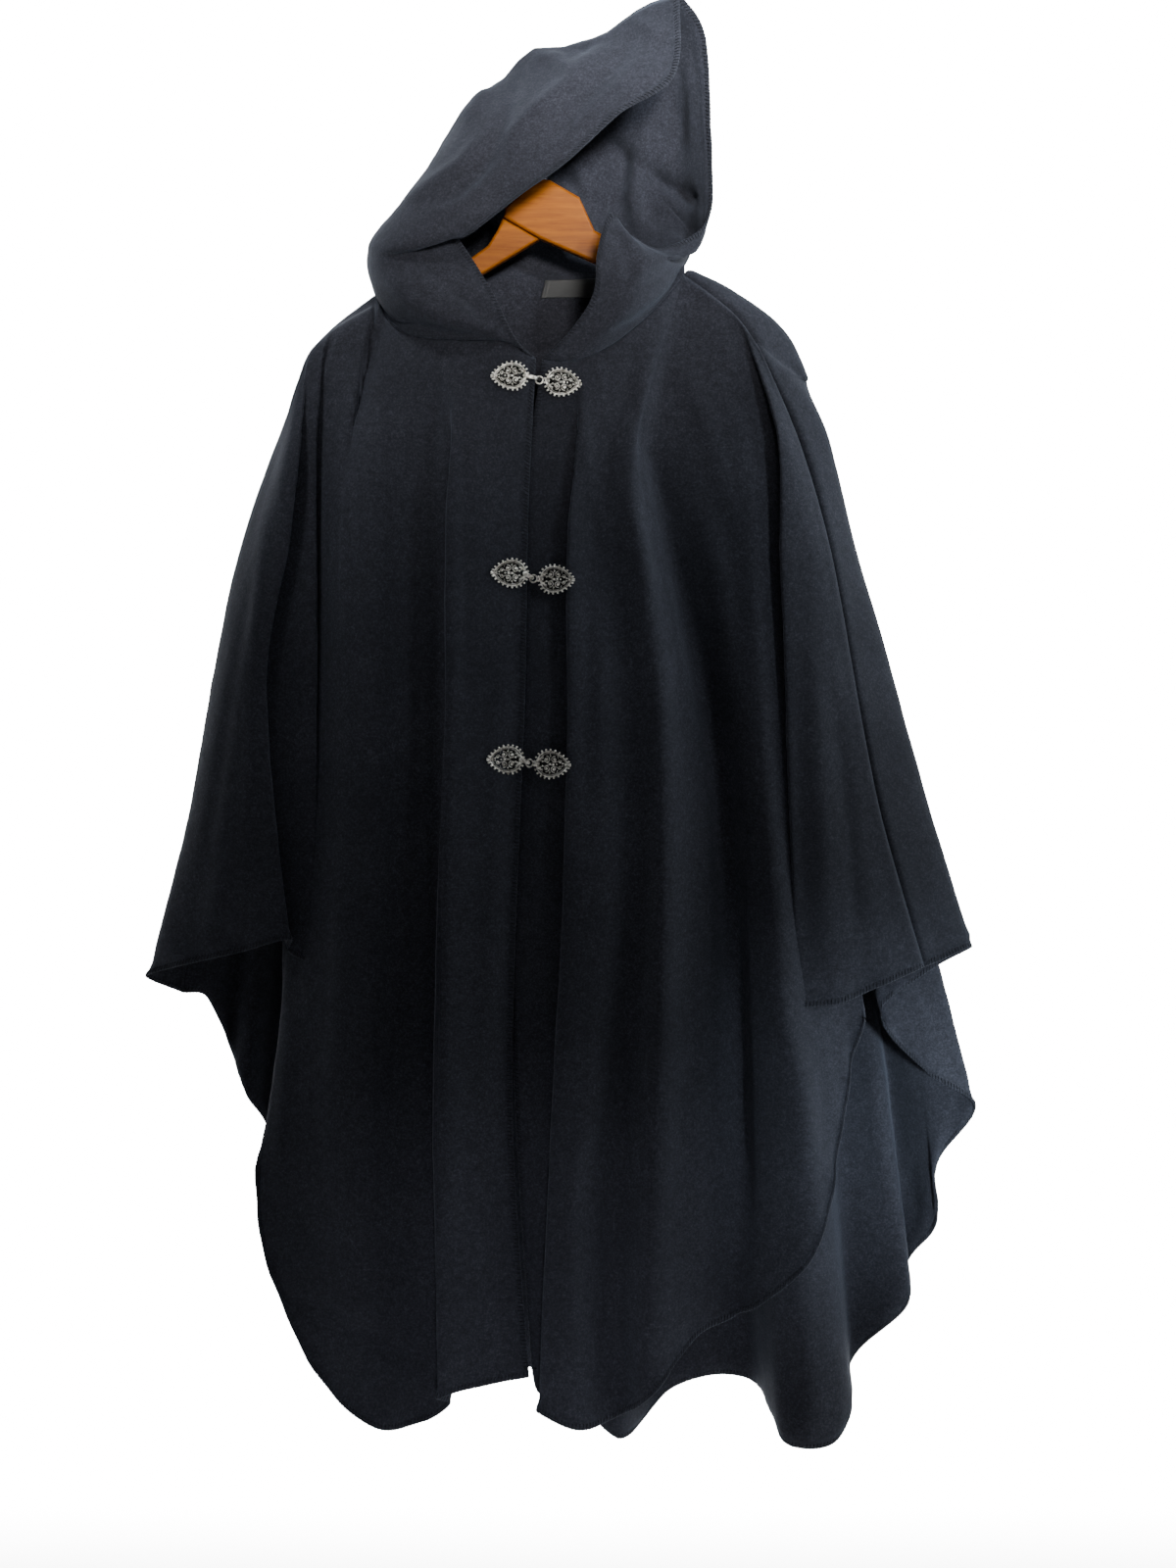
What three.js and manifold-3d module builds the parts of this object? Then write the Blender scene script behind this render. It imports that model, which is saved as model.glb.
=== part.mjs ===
// Hooded wool cloak with three hook and eye clasps, hung on a wooden hanger. Millimetres, +Z up, front -Y.
// The origin is the inside top of the hanger's hook, where a rail holds it.
// Every panel is one thin wall on a net of fold lines. A fold line runs from the neck ring or the
// shoulder seam down to the hem, and the net is a smooth curve both along the lines and across them.
import * as THREE from "three";
import { mergeVertices } from "three/addons/utils/BufferGeometryUtils.js";
import Module from "manifold-3d";

// Driving dimensions
const WALL = 2.4; // thickness of the wool
const GAP = 0.4; // between two panels at a seam
const UNIT = 0.9; // one step of u or v in the tables, in mm, in the plane of the hook
const EYE = { x: 45, y: -2200, z: -630, u: 600, v: 800 }; // the tables are drawn as seen from here
const ARM = { thick: 12, edge: 2.5 };
const WIRE = 2.1; // radius of the hook's wire
const HOOK_R = 20; // inside radius of the hook
const LEAF = { long: 36, wide: 28, thick: 1.8, scallops: 25 };
const LABEL = { wide: 38, high: 14, thick: 0.7 };

// Steps of the net between the named places on the neck ring and the shoulder seams.
const NECK_FRONT = 12, NECK_BACK_RIGHT = 10, NECK_BACK_LEFT = 10, SHOULDER = 23;
const LAST_LINES = 3; // lines at the end of a shoulder that lead from the ridge to the sleeve seam
const RIM_STEPS = [0.045, 0.2]; // share of the way from the ridge to the first station, for rows 3 and 4
const ROWS = [0.11, 0.16, 0.24, 0.33, 0.42, 0.52, 0.63, 0.75, 0.88, 1];
const EASY_ROWS = [0, 0.012, 0.026, 0.042, 0.072, ...ROWS]; // for lines that cross no ridge
const STATIONS = [0.16, 0.33, 0.52, 0.75, 1]; // shares of a fold line's length that the tables give

// u to the image right and v down, seen from EYE, and y in mm, to a point.
function at([u, v, y]) {
  const s = (UNIT * (y - EYE.y)) / -EYE.y;
  return new THREE.Vector3(EYE.x + (u - EYE.u) * s, y, EYE.z + (EYE.v - v) * s);
}

// A smooth curve through points at given parameters, which doesn't loop at uneven spacing.
function curve(points, params) {
  const last = points.length - 1;
  const slopes = points.map((p, i) => {
    const a = Math.max(0, i - 1), b = Math.min(last, i + 1);
    return points[b].clone().sub(points[a]).divideScalar(params[b] - params[a] || 1);
  });
  return (t) => {
    let i = 0;
    while (i < last - 1 && t > params[i + 1]) i++;
    const h = params[i + 1] - params[i], s = (t - params[i]) / h;
    const a = 2 * s ** 3 - 3 * s ** 2 + 1, b = s ** 3 - 2 * s ** 2 + s, d = s ** 3 - s ** 2;
    return points[i].clone().multiplyScalar(a)
      .addScaledVector(slopes[i], b * h)
      .addScaledVector(points[i + 1], 1 - a)
      .addScaledVector(slopes[i + 1], d * h);
  };
}

// Parameters that grow with a power of the distance between points: 1 for arc length.
function spread(points, power) {
  const t = [0];
  for (let i = 1; i < points.length; i++)
    t.push(t[i - 1] + Math.max(points[i].distanceTo(points[i - 1]), 0.5) ** power);
  return t;
}

// n + 1 points evenly along a table of points, and past its end when reach is over 1.
function evenly(table, n, reach = 1) {
  const points = table.map(at), t = spread(points, 1), along = curve(points, t);
  return Array.from({ length: n + 1 }, (_, i) => along((reach * t.at(-1) * i) / n));
}

// Neck ring, from the closing on the wearer's right round the back to the closing on the left: u, v, y
const ringRightFront = [
  [546, 366, -51], [528, 353, -54], [508, 348, -53], [466, 347, -46], [424, 344, -33], [401, 332, -19],
  [391, 315, -6], [389, 305, 5], [392, 300, 14],
];
const ringRightBack = [[392, 300, 14], [412, 292, 26], [470, 285, 40], [556, 281, 47]];
const ringLeftBack = [[556, 281, 47], [622, 278, 41], [668, 272, 27], [690, 269, 13], [697, 272, 0], [698, 281, -10]];
const ringLeftFront = [
  [698, 281, -10], [676, 307, -22], [648, 333, -32], [620, 354, -39], [592, 366, -43], [572, 369, -44],
  [554, 367, -46],
];
// Ridge of each shoulder over the hanger, then down the outer sleeve: u, v, y
const ridgeRight = [
  [381, 312, 0], [359, 325, 0], [331, 345, 0], [316, 362, 0], [308, 388, 0], [301, 412, 0], [286, 445, 0],
];
const ridgeLeft = [
  [710, 280, 0], [750, 300, 0], [784, 323, 0], [801, 340, 0], [816, 368, 0], [832, 412, 0], [845, 448, 0],
];
// Shoulder seams from the ring to the shoulder's end; they lie behind the right ridge, in front of the left.
const seamRight = [[392, 300, 14], [364, 328, 19], [338, 351, 22], [322, 374, 24]];
const seamLeft = [[698, 281, -10], [724, 300, -17], [752, 324, -21], [776, 358, -25]];

// Fold lines. steps: to the next line; u16 to u75: u at that share of the length; hemU, hemV: at the hem;
// y16, y33, y66, yHem: depth. Names tell where the line lies.
const COLUMNS = ["name", "steps", "u16", "u33", "u52", "u75", "hemU", "hemV", "y16", "y33", "y66", "yHem"];
const sleeveSeamRight = ["seam", 2, 289, 255, 231, 208, 186, 1012, 21, 23, 23, 21];
const sleeveSeamLeft = ["seam", 2, 818, 848, 870, 898, 943, 986, -25, -27, -28, -25];
const frontRightLines = [
  ["centre edge", 2, 538, 535, 527, 522, 539, 1404, -56.5, -59, -63, -71],
  ["band", 2, 498, 496, 489, 484, 496, 1412, -62, -65, -72, -78],
  ["band fold", 2, 457, 456, 449, 445, 449, 1426, -67, -71, -79, -87],
  ["band under", 2, 470, 470, 463, 459, 461, 1432, -54, -57, -63, -71],
  ["trough", 2, 430, 430, 424, 420, 433, 1449, -44, -47, -53, -61],
  ["crest", 2, 382, 382, 376, 368, 384, 1456, -51, -58, -67, -78],
  ["slope", 2, 350, 350, 342, 330, 326, 1404, -38, -46, -54, -64],
  ["corner", 2, 338, 336, 328, 309, 277, 1300, -30, -37, -43, -50],
  ["low edge", 2, 330, 326, 318, 301, 263, 1215, -24, -28, -33, -40],
  ["side edge", 2, 320, 312, 302, 296, 284, 1100, -18, -20, -23, -29],
  ["strip under", 2, 308, 298, 288, 288, 297, 1000, -16, -18, -20, -24],
  ["strip edge", 2, 322, 322, 322, 322, 318, 985, -30, -34, -38, -40],
  ["strip back", 2, 296, 282, 262, 268, 294, 970, -31, -33, -36, -36],
  ["flap edge", 2, 305, 293, 272, 277, 293, 958, -43, -46, -49, -49],
  ["flap", 2, 294, 272, 248, 243, 245, 971, -38, -41, -44, -43],
  ["sleeve front", 3, 286, 256, 230, 212, 198, 982, -22, -26, -28, -27],
  ["sleeve ridge", 2, 279, 243, 218, 192, 152, 996, 0, 0, 0, 0],
  sleeveSeamRight,
];
const backLines = [
  sleeveSeamRight,
  ["sleeve under", 3, 301, 270, 250, 238, 212, 1017, 31, 34, 34, 31],
  ["side crest 1", 3, 312, 286, 268, 256, 234, 1067, 42, 47, 49, 45],
  ["side trough 1", 3, 322, 302, 287, 273, 250, 1113, 35, 38, 40, 37],
  ["side crest 2", 3, 331, 317, 307, 296, 277, 1155, 44, 52, 59, 58],
  ["side trough 2", 3, 340, 331, 324, 315, 302, 1236, 37, 41, 45, 47],
  ["corner crest", 3, 351, 348, 344, 338, 326, 1316, 46, 58, 70, 76],
  ["corner trough", 3, 366, 367, 365, 362, 360, 1366, 39, 45, 50, 54],
  ["crest 1", 3, 392, 395, 396, 397, 400, 1384, 47, 62, 77, 88],
  ["trough 1", 3, 420, 426, 431, 435, 440, 1378, 46, 52, 55, 58],
  ["crest 2", 2, 450, 458, 466, 473, 480, 1386, 54, 68, 80, 91],
  ["trough 2", 2, 482, 492, 503, 513, 520, 1390, 51, 54, 57, 60],
  ["centre back", 2, 516, 528, 540, 551, 560, 1402, 56, 66, 76, 86],
  ["trough 3", 2, 548, 562, 577, 591, 601, 1442, 51, 53, 56, 60],
  ["hem lobe 1", 1, 574, 591, 608, 623, 632, 1468, 52, 54, 54, 52],
  ["lobe side", 1, 592, 612, 632, 648, 656, 1452, 56, 66, 76, 78],
  ["crest 3", 2, 608, 631, 653, 670, 680, 1420, 57, 72, 87, 95],
  ["arch", 1, 628, 657, 685, 707, 722, 1404, 50, 62, 76, 86],
  ["crest 4", 1, 646, 681, 715, 742, 765, 1407, 52, 68, 84, 93],
  ["lobe left", 1, 662, 704, 743, 769, 784, 1440, 42, 48, 56, 60],
  ["lobe left 2", 1, 672, 716, 755, 784, 799, 1470, 38, 38, 38, 36],
  ["hem lobe 2", 1, 684, 731, 774, 804, 826, 1479, 36, 33, 29, 25],
  ["lobe right 2", 1, 695, 744, 790, 826, 853, 1472, 37, 36, 35, 34],
  ["lobe right", 2, 704, 754, 802, 838, 867, 1447, 40, 43, 46, 48],
  ["crest 5", 2, 716, 770, 820, 852, 872, 1384, 46, 58, 70, 76],
  ["corner left", 2, 738, 793, 846, 893, 928, 1330, 40, 47, 56, 60],
  ["valley", 2, 752, 806, 856, 899, 926, 1288, 47, 60, 74, 80],
  ["side fold", 1, 768, 822, 873, 920, 955, 1246, 40, 46, 53, 56],
  ["side low", 2, 778, 833, 884, 930, 955, 1188, 36, 42, 46, 48],
  ["point", 2, 800, 850, 898, 944, 994, 1130, 31, 34, 35, 33],
  ["point inner", 1, 794, 838, 878, 912, 948, 1096, 23, 25, 25, 23],
  ["wrist inner", 1, 792, 830, 862, 878, 897, 1036, 17, 18, 18, 16],
  ["wrist back", 2, 806, 852, 893, 924, 944, 993, 12, 13, 13, 12],
  ["sleeve ridge", 2, 843, 869, 903, 943, 991, 966, 0, 0, 0, 0],
  sleeveSeamLeft,
];
const frontLeftLines = [
  sleeveSeamLeft,
  ["sleeve front", 2, 809, 834, 852, 872, 897, 1006, -34, -38, -40, -38],
  ["sleeve face", 2, 801, 817, 830, 843, 856, 1023, -39, -44, -48, -47],
  ["sleeve fold", 2, 794, 797, 802, 807, 813, 1027, -40, -47, -52, -52],
  ["sleeve under", 2, 804, 820, 838, 858, 880, 1030, -27, -30, -32, -30],
  ["side edge", 2, 796, 810, 822, 840, 868, 1086, -25, -29, -33, -34],
  ["side low", 3, 784, 796, 808, 824, 852, 1190, -30, -37, -45, -52],
  ["outer crest", 3, 762, 772, 783, 800, 830, 1282, -37, -47, -60, -73],
  ["hem point", 3, 732, 747, 762, 770, 775, 1332, -36, -41, -48, -56],
  ["main valley", 2, 672, 708, 741, 750, 750, 1341, -33, -33, -36, -41],
  ["valley side", 3, 655, 688, 709, 712, 710, 1364, -43, -47, -54, -61],
  ["crest 1", 2, 643, 670, 677, 670, 660, 1428, -55, -64, -74, -82],
  ["trough", 2, 617, 640, 650, 632, 630, 1444, -53, -57, -60, -63],
  ["crest 2", 2, 597, 611, 612, 588, 588, 1458, -58, -65, -73, -83],
  ["front fold", 1, 581, 580, 575, 562, 550, 1440, -62, -66, -73, -81],
  ["front under", 1, 595, 594, 590, 577, 564, 1434, -54, -57, -60, -67],
  ["band", 1, 560, 557, 551, 545, 549, 1418, -52.5, -55, -57, -62],
  ["centre edge", 1, 530, 527, 520, 527, 543, 1402, -52, -54.5, -57, -62],
];

// Depth of a fold line at a share of its length.
function depth(line, share) {
  const [y16, y33, y66, yHem] = line.slice(8);
  const p = [y16, y33, y66, yHem].map((y) => new THREE.Vector3(0, y, 0));
  return curve(p, [0.16, 0.33, 0.66, 1])(share).y;
}

// A panel's net: tops[i] is the start of sample line i. Rows 0 to 4 leave the seam and cross the ridge, the
// others follow the table. ridge[i], where there is one, is the place where the line crosses the shoulder.
function panelNet(lines, tops, ridge, shoulderV = 1e3) {
  const places = [0];
  for (const line of lines.slice(0, -1)) places.push(places.at(-1) + line[1]);
  const rows = STATIONS.map((share, k) =>
    lines.map((line, i) => {
      const start = ridge[places[i]] || tops[places[i]];
      const scale = (UNIT * (start.y - EYE.y)) / -EYE.y;
      const topV = Math.min(EYE.v - (start.z - EYE.z) / scale, shoulderV);
      return at([line[2 + k], topV + share * (line[7] - topV), depth(line, share)]);
    }));
  const across = rows.map((points) => {
    const t = spread(points, 0.5), along = curve(points, t);
    return (i) => {
      let k = 0;
      while (k < lines.length - 2 && i > places[k + 1]) k++;
      const s = (i - places[k]) / (places[k + 1] - places[k]);
      return along(t[k] + s * (t[k + 1] - t[k]));
    };
  });
  return tops.map((top, i) => {
    const low = across.map((f) => f(i)), first = low[0], column = [top];
    if (ridge[i]) {
      const over = ridge[i].clone();
      if (Math.sign(first.y) === Math.sign(top.y)) over.y = first.y;
      const side = (limit) => over.y + Math.sign(first.y - over.y) * Math.min(Math.abs(first.y - over.y), limit);
      const mid = top.clone().lerp(over, 0.5);
      if (Math.sign(first.y) !== Math.sign(top.y)) mid.z += 6 * Math.min(1, Math.abs(top.y) / 16);
      column.push(mid, over);
      RIM_STEPS.forEach((step, k) => {
        const p = over.clone().lerp(first, step);
        p.y = side(k ? 18 : 11.5);
        column.push(p);
      });
    } else {
      const down = EASY_ROWS.map(curve([top, ...low], [0, ...STATIONS])), side = Math.sign(first.y);
      for (const p of down.slice(1, 6)) {
        const need = Math.min(ARM.thick / 2 + 7, side * top.y + 1.2 * (top.z - p.z));
        if (side * p.y < need) p.y = side * need;
      }
      // Under the wearer's right shoulder the lines leave the seam squarely before they turn down.
      if (side > 0 && i < SHOULDER) {
        const lean = 6 * Math.min(1, i / 1.5) * Math.min(1, (SHOULDER - i) / 6);
        [0, 0.55, 0.9, 1, 0.7, 0.3].forEach((share, k) => {
          down[k].x += 0.85 * lean * share;
          down[k].z -= 0.5 * lean * share;
        });
      }
      return down;
    }
    const down = curve([column[3], column[4], ...low], [0.02, 0.06, ...STATIONS]);
    const over = [...column, ...ROWS.map(down)];
    // The last lines before the sleeve seam cross less and less of the ridge.
    const left = Math.min(1, (tops.length - 1 - i) / LAST_LINES), share = left * left * (3 - 2 * left);
    const plain = EASY_ROWS.map(curve([top, ...low], [0, ...STATIONS]));
    return over.map((p, k) => plain[k].lerp(p, share));
  });
}

// The seam line down a sleeve, which two panels share.
function sleeveSeam(line, top) {
  const scale = (UNIT * (top.y - EYE.y)) / -EYE.y, topV = EYE.v - (top.z - EYE.z) / scale;
  const points = STATIONS.map((share, k) =>
    at([line[2 + k], topV + share * (line[7] - topV), depth(line, share)]));
  return EASY_ROWS.map(curve([top, ...points], [0, ...STATIONS]));
}

const ringRF = evenly(ringRightFront, NECK_FRONT), ringRB = evenly(ringRightBack, NECK_BACK_RIGHT);
const ringLB = evenly(ringLeftBack, NECK_BACK_LEFT), ringLF = evenly(ringLeftFront, NECK_FRONT);
const topR = evenly(seamRight, SHOULDER), topL = evenly(seamLeft, SHOULDER);
const overR = evenly(ridgeRight, SHOULDER, 0.8), overL = evenly(ridgeLeft, SHOULDER, 0.8);
const none = (n) => Array(n).fill(null);

const seamDownR = sleeveSeam(sleeveSeamRight, topR.at(-1));
const seamDownL = sleeveSeam(sleeveSeamLeft, topL.at(-1));

const frontRight = panelNet(frontRightLines, [...ringRF, ...topR.slice(1)], [...none(NECK_FRONT), ...overR], 362);
frontRight[frontRight.length - 1] = seamDownR;
const back = panelNet(
  backLines,
  [...topR.slice().reverse(), ...ringRB.slice(1), ...ringLB.slice(1), ...topL.slice(1)],
  [...none(SHOULDER + NECK_BACK_RIGHT + NECK_BACK_LEFT), ...overL], 342);
back[0] = seamDownR;
back[back.length - 1] = seamDownL;
const frontLeft = panelNet(
  frontLeftLines, [...topL.slice().reverse(), ...ringLF.slice(1)], none(SHOULDER + NECK_FRONT + 1));
frontLeft[0] = seamDownL;

// Hood. Each fold line runs up from the neck ring to the crown seam: u, v, y at eleven stations.
// place: share of the way along the half ring, from the closing to the centre back.
const crown = [[444, 166, 33], [440, 160, 29], [453, 138, 20], [490, 95, 10], [560, 46, 2], [642, 13, -8], [693, -7, -22]];
const backSeam = [
  [528, 264, 50], [510, 250, 52], [497, 238, 52], [486, 228, 51], [476, 217, 50], [466, 206, 48],
  [459, 196, 45], [453, 186, 42], [448, 176, 38],
];
const hoodRightLines = [
  { place: 0, at: [[524, 343, -60], [500, 296, -57], [468, 246, -45], [458, 236, -44], [484, 234, -66],
    [534, 197, -70], [576, 167, -69], [632, 117, -64], [689, 76, -54]] },
  { place: 0.22, at: [[482, 330, -64], [452, 292, -63], [432, 264, -54], [430, 253, -52], [442, 246, -65],
    [494, 204, -69], [540, 160, -66], [596, 104, -56], [642, 58, -38]] },
  { place: 0.36, at: [[436, 326, -58], [408, 296, -57], [396, 276, -51], [394, 262, -50], [402, 249, -57],
    [444, 206, -58], [482, 162, -54], [522, 116, -43], [548, 80, -22]] },
  { place: 0.5, at: [[402, 324, -30], [384, 295, -28], [377, 274, -26], [377, 261, -25], [380, 245, -32],
    [398, 218, -34], [420, 186, -30], [447, 148, -20], [470, 116, -5]] },
  { place: 0.62, at: [[386, 292, 8], [382, 276, 8], [381, 264, 8], [382, 252, 6], [387, 237, 3],
    [400, 216, 3], [416, 194, 6], [432, 170, 10], [444, 152, 15]] },
  { place: 0.8, at: [[438, 274, 42], [429, 262, 44], [423, 251, 44], [419, 241, 44], [417, 230, 43],
    [418, 217, 41], [422, 203, 38], [429, 188, 35], [435, 174, 32]] },
];
const hoodLeftLines = [
  { place: 0, at: [[584, 336, -49], [606, 300, -57], [610, 258, -60], [622, 219, -52], [638, 238, -42],
    [670, 254, -32], [714, 228, -12], [730, 152, 3], [719, 38, -3]] },
  { place: 0.2, at: [[622, 338, -50], [644, 316, -54], [655, 292, -55], [664, 270, -51], [676, 264, -42],
    [695, 262, -27], [712, 240, -5], [706, 150, 22], [677, 48, 15]] },
  { place: 0.4, slip: 1, at: [[687, 289, -13], [696, 270, 1], [701, 252, 13], [701, 234, 23], [695, 212, 29],
    [686, 184, 34], [674, 150, 35], [650, 108, 32], [608, 72, 20]] },
  { place: 0.56, slip: 0.75, at: [[692, 260, 6], [689, 246, 20], [682, 230, 34], [674, 212, 39],
    [662, 194, 43], [644, 174, 45], [618, 150, 45], [580, 124, 40], [534, 106, 26]] },
  { place: 0.72, slip: 0.45, at: [[655, 258, 38], [645, 243, 45], [632, 227, 49], [618, 211, 52],
    [598, 196, 53], [574, 180, 53], [546, 167, 51], [516, 157, 46], [485, 147, 35]] },
  { place: 0.86, slip: 0.2, at: [[596, 266, 48], [581, 252, 52], [565, 239, 54], [548, 226, 55],
    [530, 213, 55], [512, 201, 54], [495, 190, 52], [478, 180, 47], [460, 171, 40]] },
];

const HOOD_ROWS = 20;
// How far a line's stations slip towards the neck, times its slip, to feed the turned lip at the closing.
const SLIP = [0, 0.4, 1, 1.6, 2.1, 2.5, 2.6, 1.4, 0.2];
function hoodNet(lines, ring) {
  const all = [...lines, { place: 1, at: backSeam }].map(({ place, at: table, slip }) => {
    const points = table.map(at), i = place * (ring.length - 1), a = Math.floor(i);
    if (!slip) return { place, points };
    const up = curve([ring[a].clone().lerp(ring[a + 1], i - a), ...points], [0, 1, 2, 3, 4, 5, 6, 7, 8, 9]);
    return { place, points: SLIP.map((less, k) => up(k + 1 - slip * less)) };
  });
  const crownPoints = crown.slice().reverse().map(at), reach = spread(crownPoints, 1);
  const crownAt = curve(crownPoints, reach);
  const places = all.map((line) => line.place * (ring.length - 1));
  const station = (k) => {
    if (k === 9) return (i) => crownAt(reach.at(-1) * (i / (ring.length - 1)) ** 0.7);
    const points = all.map((line) => line.points[k]);
    const t = spread(points, 0.5), along = curve(points, t);
    return (i) => {
      let n = 0;
      while (n < all.length - 2 && i > places[n + 1]) n++;
      const s = (i - places[n]) / (places[n + 1] - places[n]);
      return along(t[n] + s * (t[n + 1] - t[n]));
    };
  };
  const across = Array.from({ length: 10 }, (_, k) => station(k));
  return ring.map((start, i) => {
    const up = curve([start, ...across.map((f) => f(i))], Array.from({ length: 11 }, (_, k) => k / 10));
    return Array.from({ length: HOOD_ROWS + 1 }, (_, j) => up(j / HOOD_ROWS));
  });
}
const hoodRight = hoodNet(hoodRightLines, [...ringRF, ...ringRB.slice(1)]);
const hoodLeft = hoodNet(hoodLeftLines, [...ringLF.slice().reverse(), ...ringLB.slice().reverse().slice(1)]);
// The back seam and the crown seam are shared, whichever half's steps draw them.
hoodLeft[hoodLeft.length - 1] = hoodRight[hoodRight.length - 1];

// Vertex normals shared by every net that meets at a point, so the walls meet squarely at a seam.
const key = (p) => [p.x, p.y, p.z].map((c) => Math.round(c * 50)).join();
const normals = new Map();
// The label is a small sheet parallel to the back panel, below the neck seam at its centre.
const labelNet = Array.from({ length: 6 }, (_, a) => Array.from({ length: 3 }, (_, b) => {
  const along = SHOULDER + NECK_BACK_RIGHT + 0.1 + (a / 5) * 3.3, row = 0.4 + (b / 2) * 1.25;
  const i = Math.floor(along), j = Math.floor(row), s = along - i, t = row - j;
  const one = back[i][j].clone().lerp(back[i][j + 1], t);
  return one.lerp(back[i + 1][j].clone().lerp(back[i + 1][j + 1], t), s);
}));
const nets = [
  { name: "front_right", net: frontRight, out: 1 },
  { name: "back", net: back, out: 1 },
  { name: "front_left", net: frontLeft, out: 1 },
  { name: "hood_right", net: hoodRight, out: -1 },
  { name: "hood_left", net: hoodLeft, out: 1 },
];
for (const { net, out } of [...nets, { net: labelNet, out: 1 }])
  for (let i = 0; i + 1 < net.length; i++)
    for (let j = 0; j + 1 < net[i].length; j++) {
      const a = net[i][j], b = net[i + 1][j], c = net[i + 1][j + 1], d = net[i][j + 1];
      const n = c.clone().sub(a).cross(d.clone().sub(b)).multiplyScalar(out);
      for (const p of [a, b, c, d]) {
        if (!normals.has(key(p))) normals.set(key(p), new THREE.Vector3());
        normals.get(key(p)).add(n);
      }
    }
for (const n of normals.values()) n.normalize();

// A closed wall about a net: both faces and the four edges, pulled back from the seams by half the gap.
function wall(net, out, thick = WALL, lift = 0) {
  const m = net.length - 1, k = net[0].length - 1, points = [], faces = [];
  const inward = (i, j) => {
    const p = net[i][j].clone();
    const shift = (q) => {
      const d = q.clone().sub(net[i][j]), far = d.length();
      if (far > 0.01) p.addScaledVector(d, Math.min(GAP / 2, far / 3) / far);
    };
    if (i === 0) shift(net[1][j]);
    if (i === m) shift(net[m - 1][j]);
    if (j === 0) shift(net[i][1]);
    if (j === k) shift(net[i][k - 1]);
    return p;
  };
  for (const side of [1, -1])
    for (let i = 0; i <= m; i++)
      for (let j = 0; j <= k; j++) {
        const n = normals.get(key(net[i][j]));
        points.push(inward(i, j).addScaledVector(n, lift + (side * thick) / 2));
      }
  const at2 = (side, i, j) => side * (m + 1) * (k + 1) + i * (k + 1) + j;
  const quad = (a, b, c, d) => {
    const direct = points[a].distanceTo(points[c]) <= points[b].distanceTo(points[d]);
    const two = direct ? [a, b, c, a, c, d] : [a, b, d, b, c, d];
    faces.push(...(out > 0 ? two : two.reverse()));
  };
  for (let i = 0; i < m; i++)
    for (let j = 0; j < k; j++) {
      quad(at2(0, i, j), at2(0, i + 1, j), at2(0, i + 1, j + 1), at2(0, i, j + 1));
      quad(at2(1, i, j), at2(1, i, j + 1), at2(1, i + 1, j + 1), at2(1, i + 1, j));
    }
  for (let i = 0; i < m; i++) {
    quad(at2(0, i, 0), at2(1, i, 0), at2(1, i + 1, 0), at2(0, i + 1, 0));
    quad(at2(0, i, k), at2(0, i + 1, k), at2(1, i + 1, k), at2(1, i, k));
  }
  for (let j = 0; j < k; j++) {
    quad(at2(0, 0, j), at2(0, 0, j + 1), at2(1, 0, j + 1), at2(1, 0, j));
    quad(at2(0, m, j), at2(1, m, j), at2(1, m, j + 1), at2(0, m, j + 1));
  }
  const geometry = new THREE.BufferGeometry();
  geometry.setAttribute("position", new THREE.Float32BufferAttribute(points.flatMap((p) => p.toArray()), 3));
  geometry.setIndex(faces);
  geometry.computeVertexNormals();
  return geometry;
}

// Union of closed shapes, for a clasp half and its tongue or ring.
const wasm = await Module();
wasm.setup();
function joined(shapes) {
  const solids = shapes.map((shape) => {
    const bare = new THREE.BufferGeometry().setAttribute("position", shape.getAttribute("position"));
    bare.setIndex(shape.index);
    const merged = mergeVertices(bare, 1e-4);
    return new wasm.Manifold(new wasm.Mesh({
      numProp: 3, vertProperties: merged.attributes.position.array, triVerts: new Uint32Array(merged.index.array),
    }));
  });
  const mesh = wasm.Manifold.union(solids).getMesh();
  const geometry = new THREE.BufferGeometry();
  geometry.setAttribute("position", new THREE.BufferAttribute(new Float32Array(mesh.vertProperties), 3));
  geometry.setIndex([...mesh.triVerts]);
  geometry.computeVertexNormals();
  return geometry;
}

// A closed skin over rings of points; the first and last ring are closed with a fan about their mean.
function skin(rings) {
  const n = rings[0].length, points = rings.flat(), faces = [];
  for (let r = 0; r + 1 < rings.length; r++)
    for (let i = 0; i < n; i++) {
      const a = r * n + i, b = r * n + ((i + 1) % n);
      faces.push(a, b, b + n, a, b + n, a + n);
    }
  for (const [r, turn] of [[0, 1], [rings.length - 1, 0]]) {
    const mean = rings[r].reduce((sum, p) => sum.add(p), new THREE.Vector3()).divideScalar(n);
    const m = points.push(mean) - 1;
    for (let i = 0; i < n; i++) {
      const a = r * n + i, b = r * n + ((i + 1) % n);
      faces.push(...(turn ? [b, a, m] : [a, b, m]));
    }
  }
  const geometry = new THREE.BufferGeometry();
  geometry.setAttribute("position", new THREE.Float32BufferAttribute(points.flatMap((p) => p.toArray()), 3));
  geometry.setIndex(faces);
  geometry.computeVertexNormals();
  return geometry;
}

// Scalloped leaf, its point at -x, with a raised rim and a low dome. z is outwards.
function leaf() {
  const { long, wide, thick, scallops } = LEAF, n = scallops * 2;
  const ring = (share, z) => Array.from({ length: n }, (_, i) => {
    const a = (2 * Math.PI * i) / n, bump = share * (i % 2 ? 0.945 : 1);
    return new THREE.Vector3(
      -bump * (long / 2) * Math.cos(a), bump * -0.57 * wide * Math.sin(a) * Math.sin(a / 2) ** 0.42, z);
  });
  return skin([ring(1, 0), ring(1, thick * 0.7), ring(0.88, thick), ring(0.76, thick * 0.6), ring(0.3, thick * 0.9)]);
}

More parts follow.
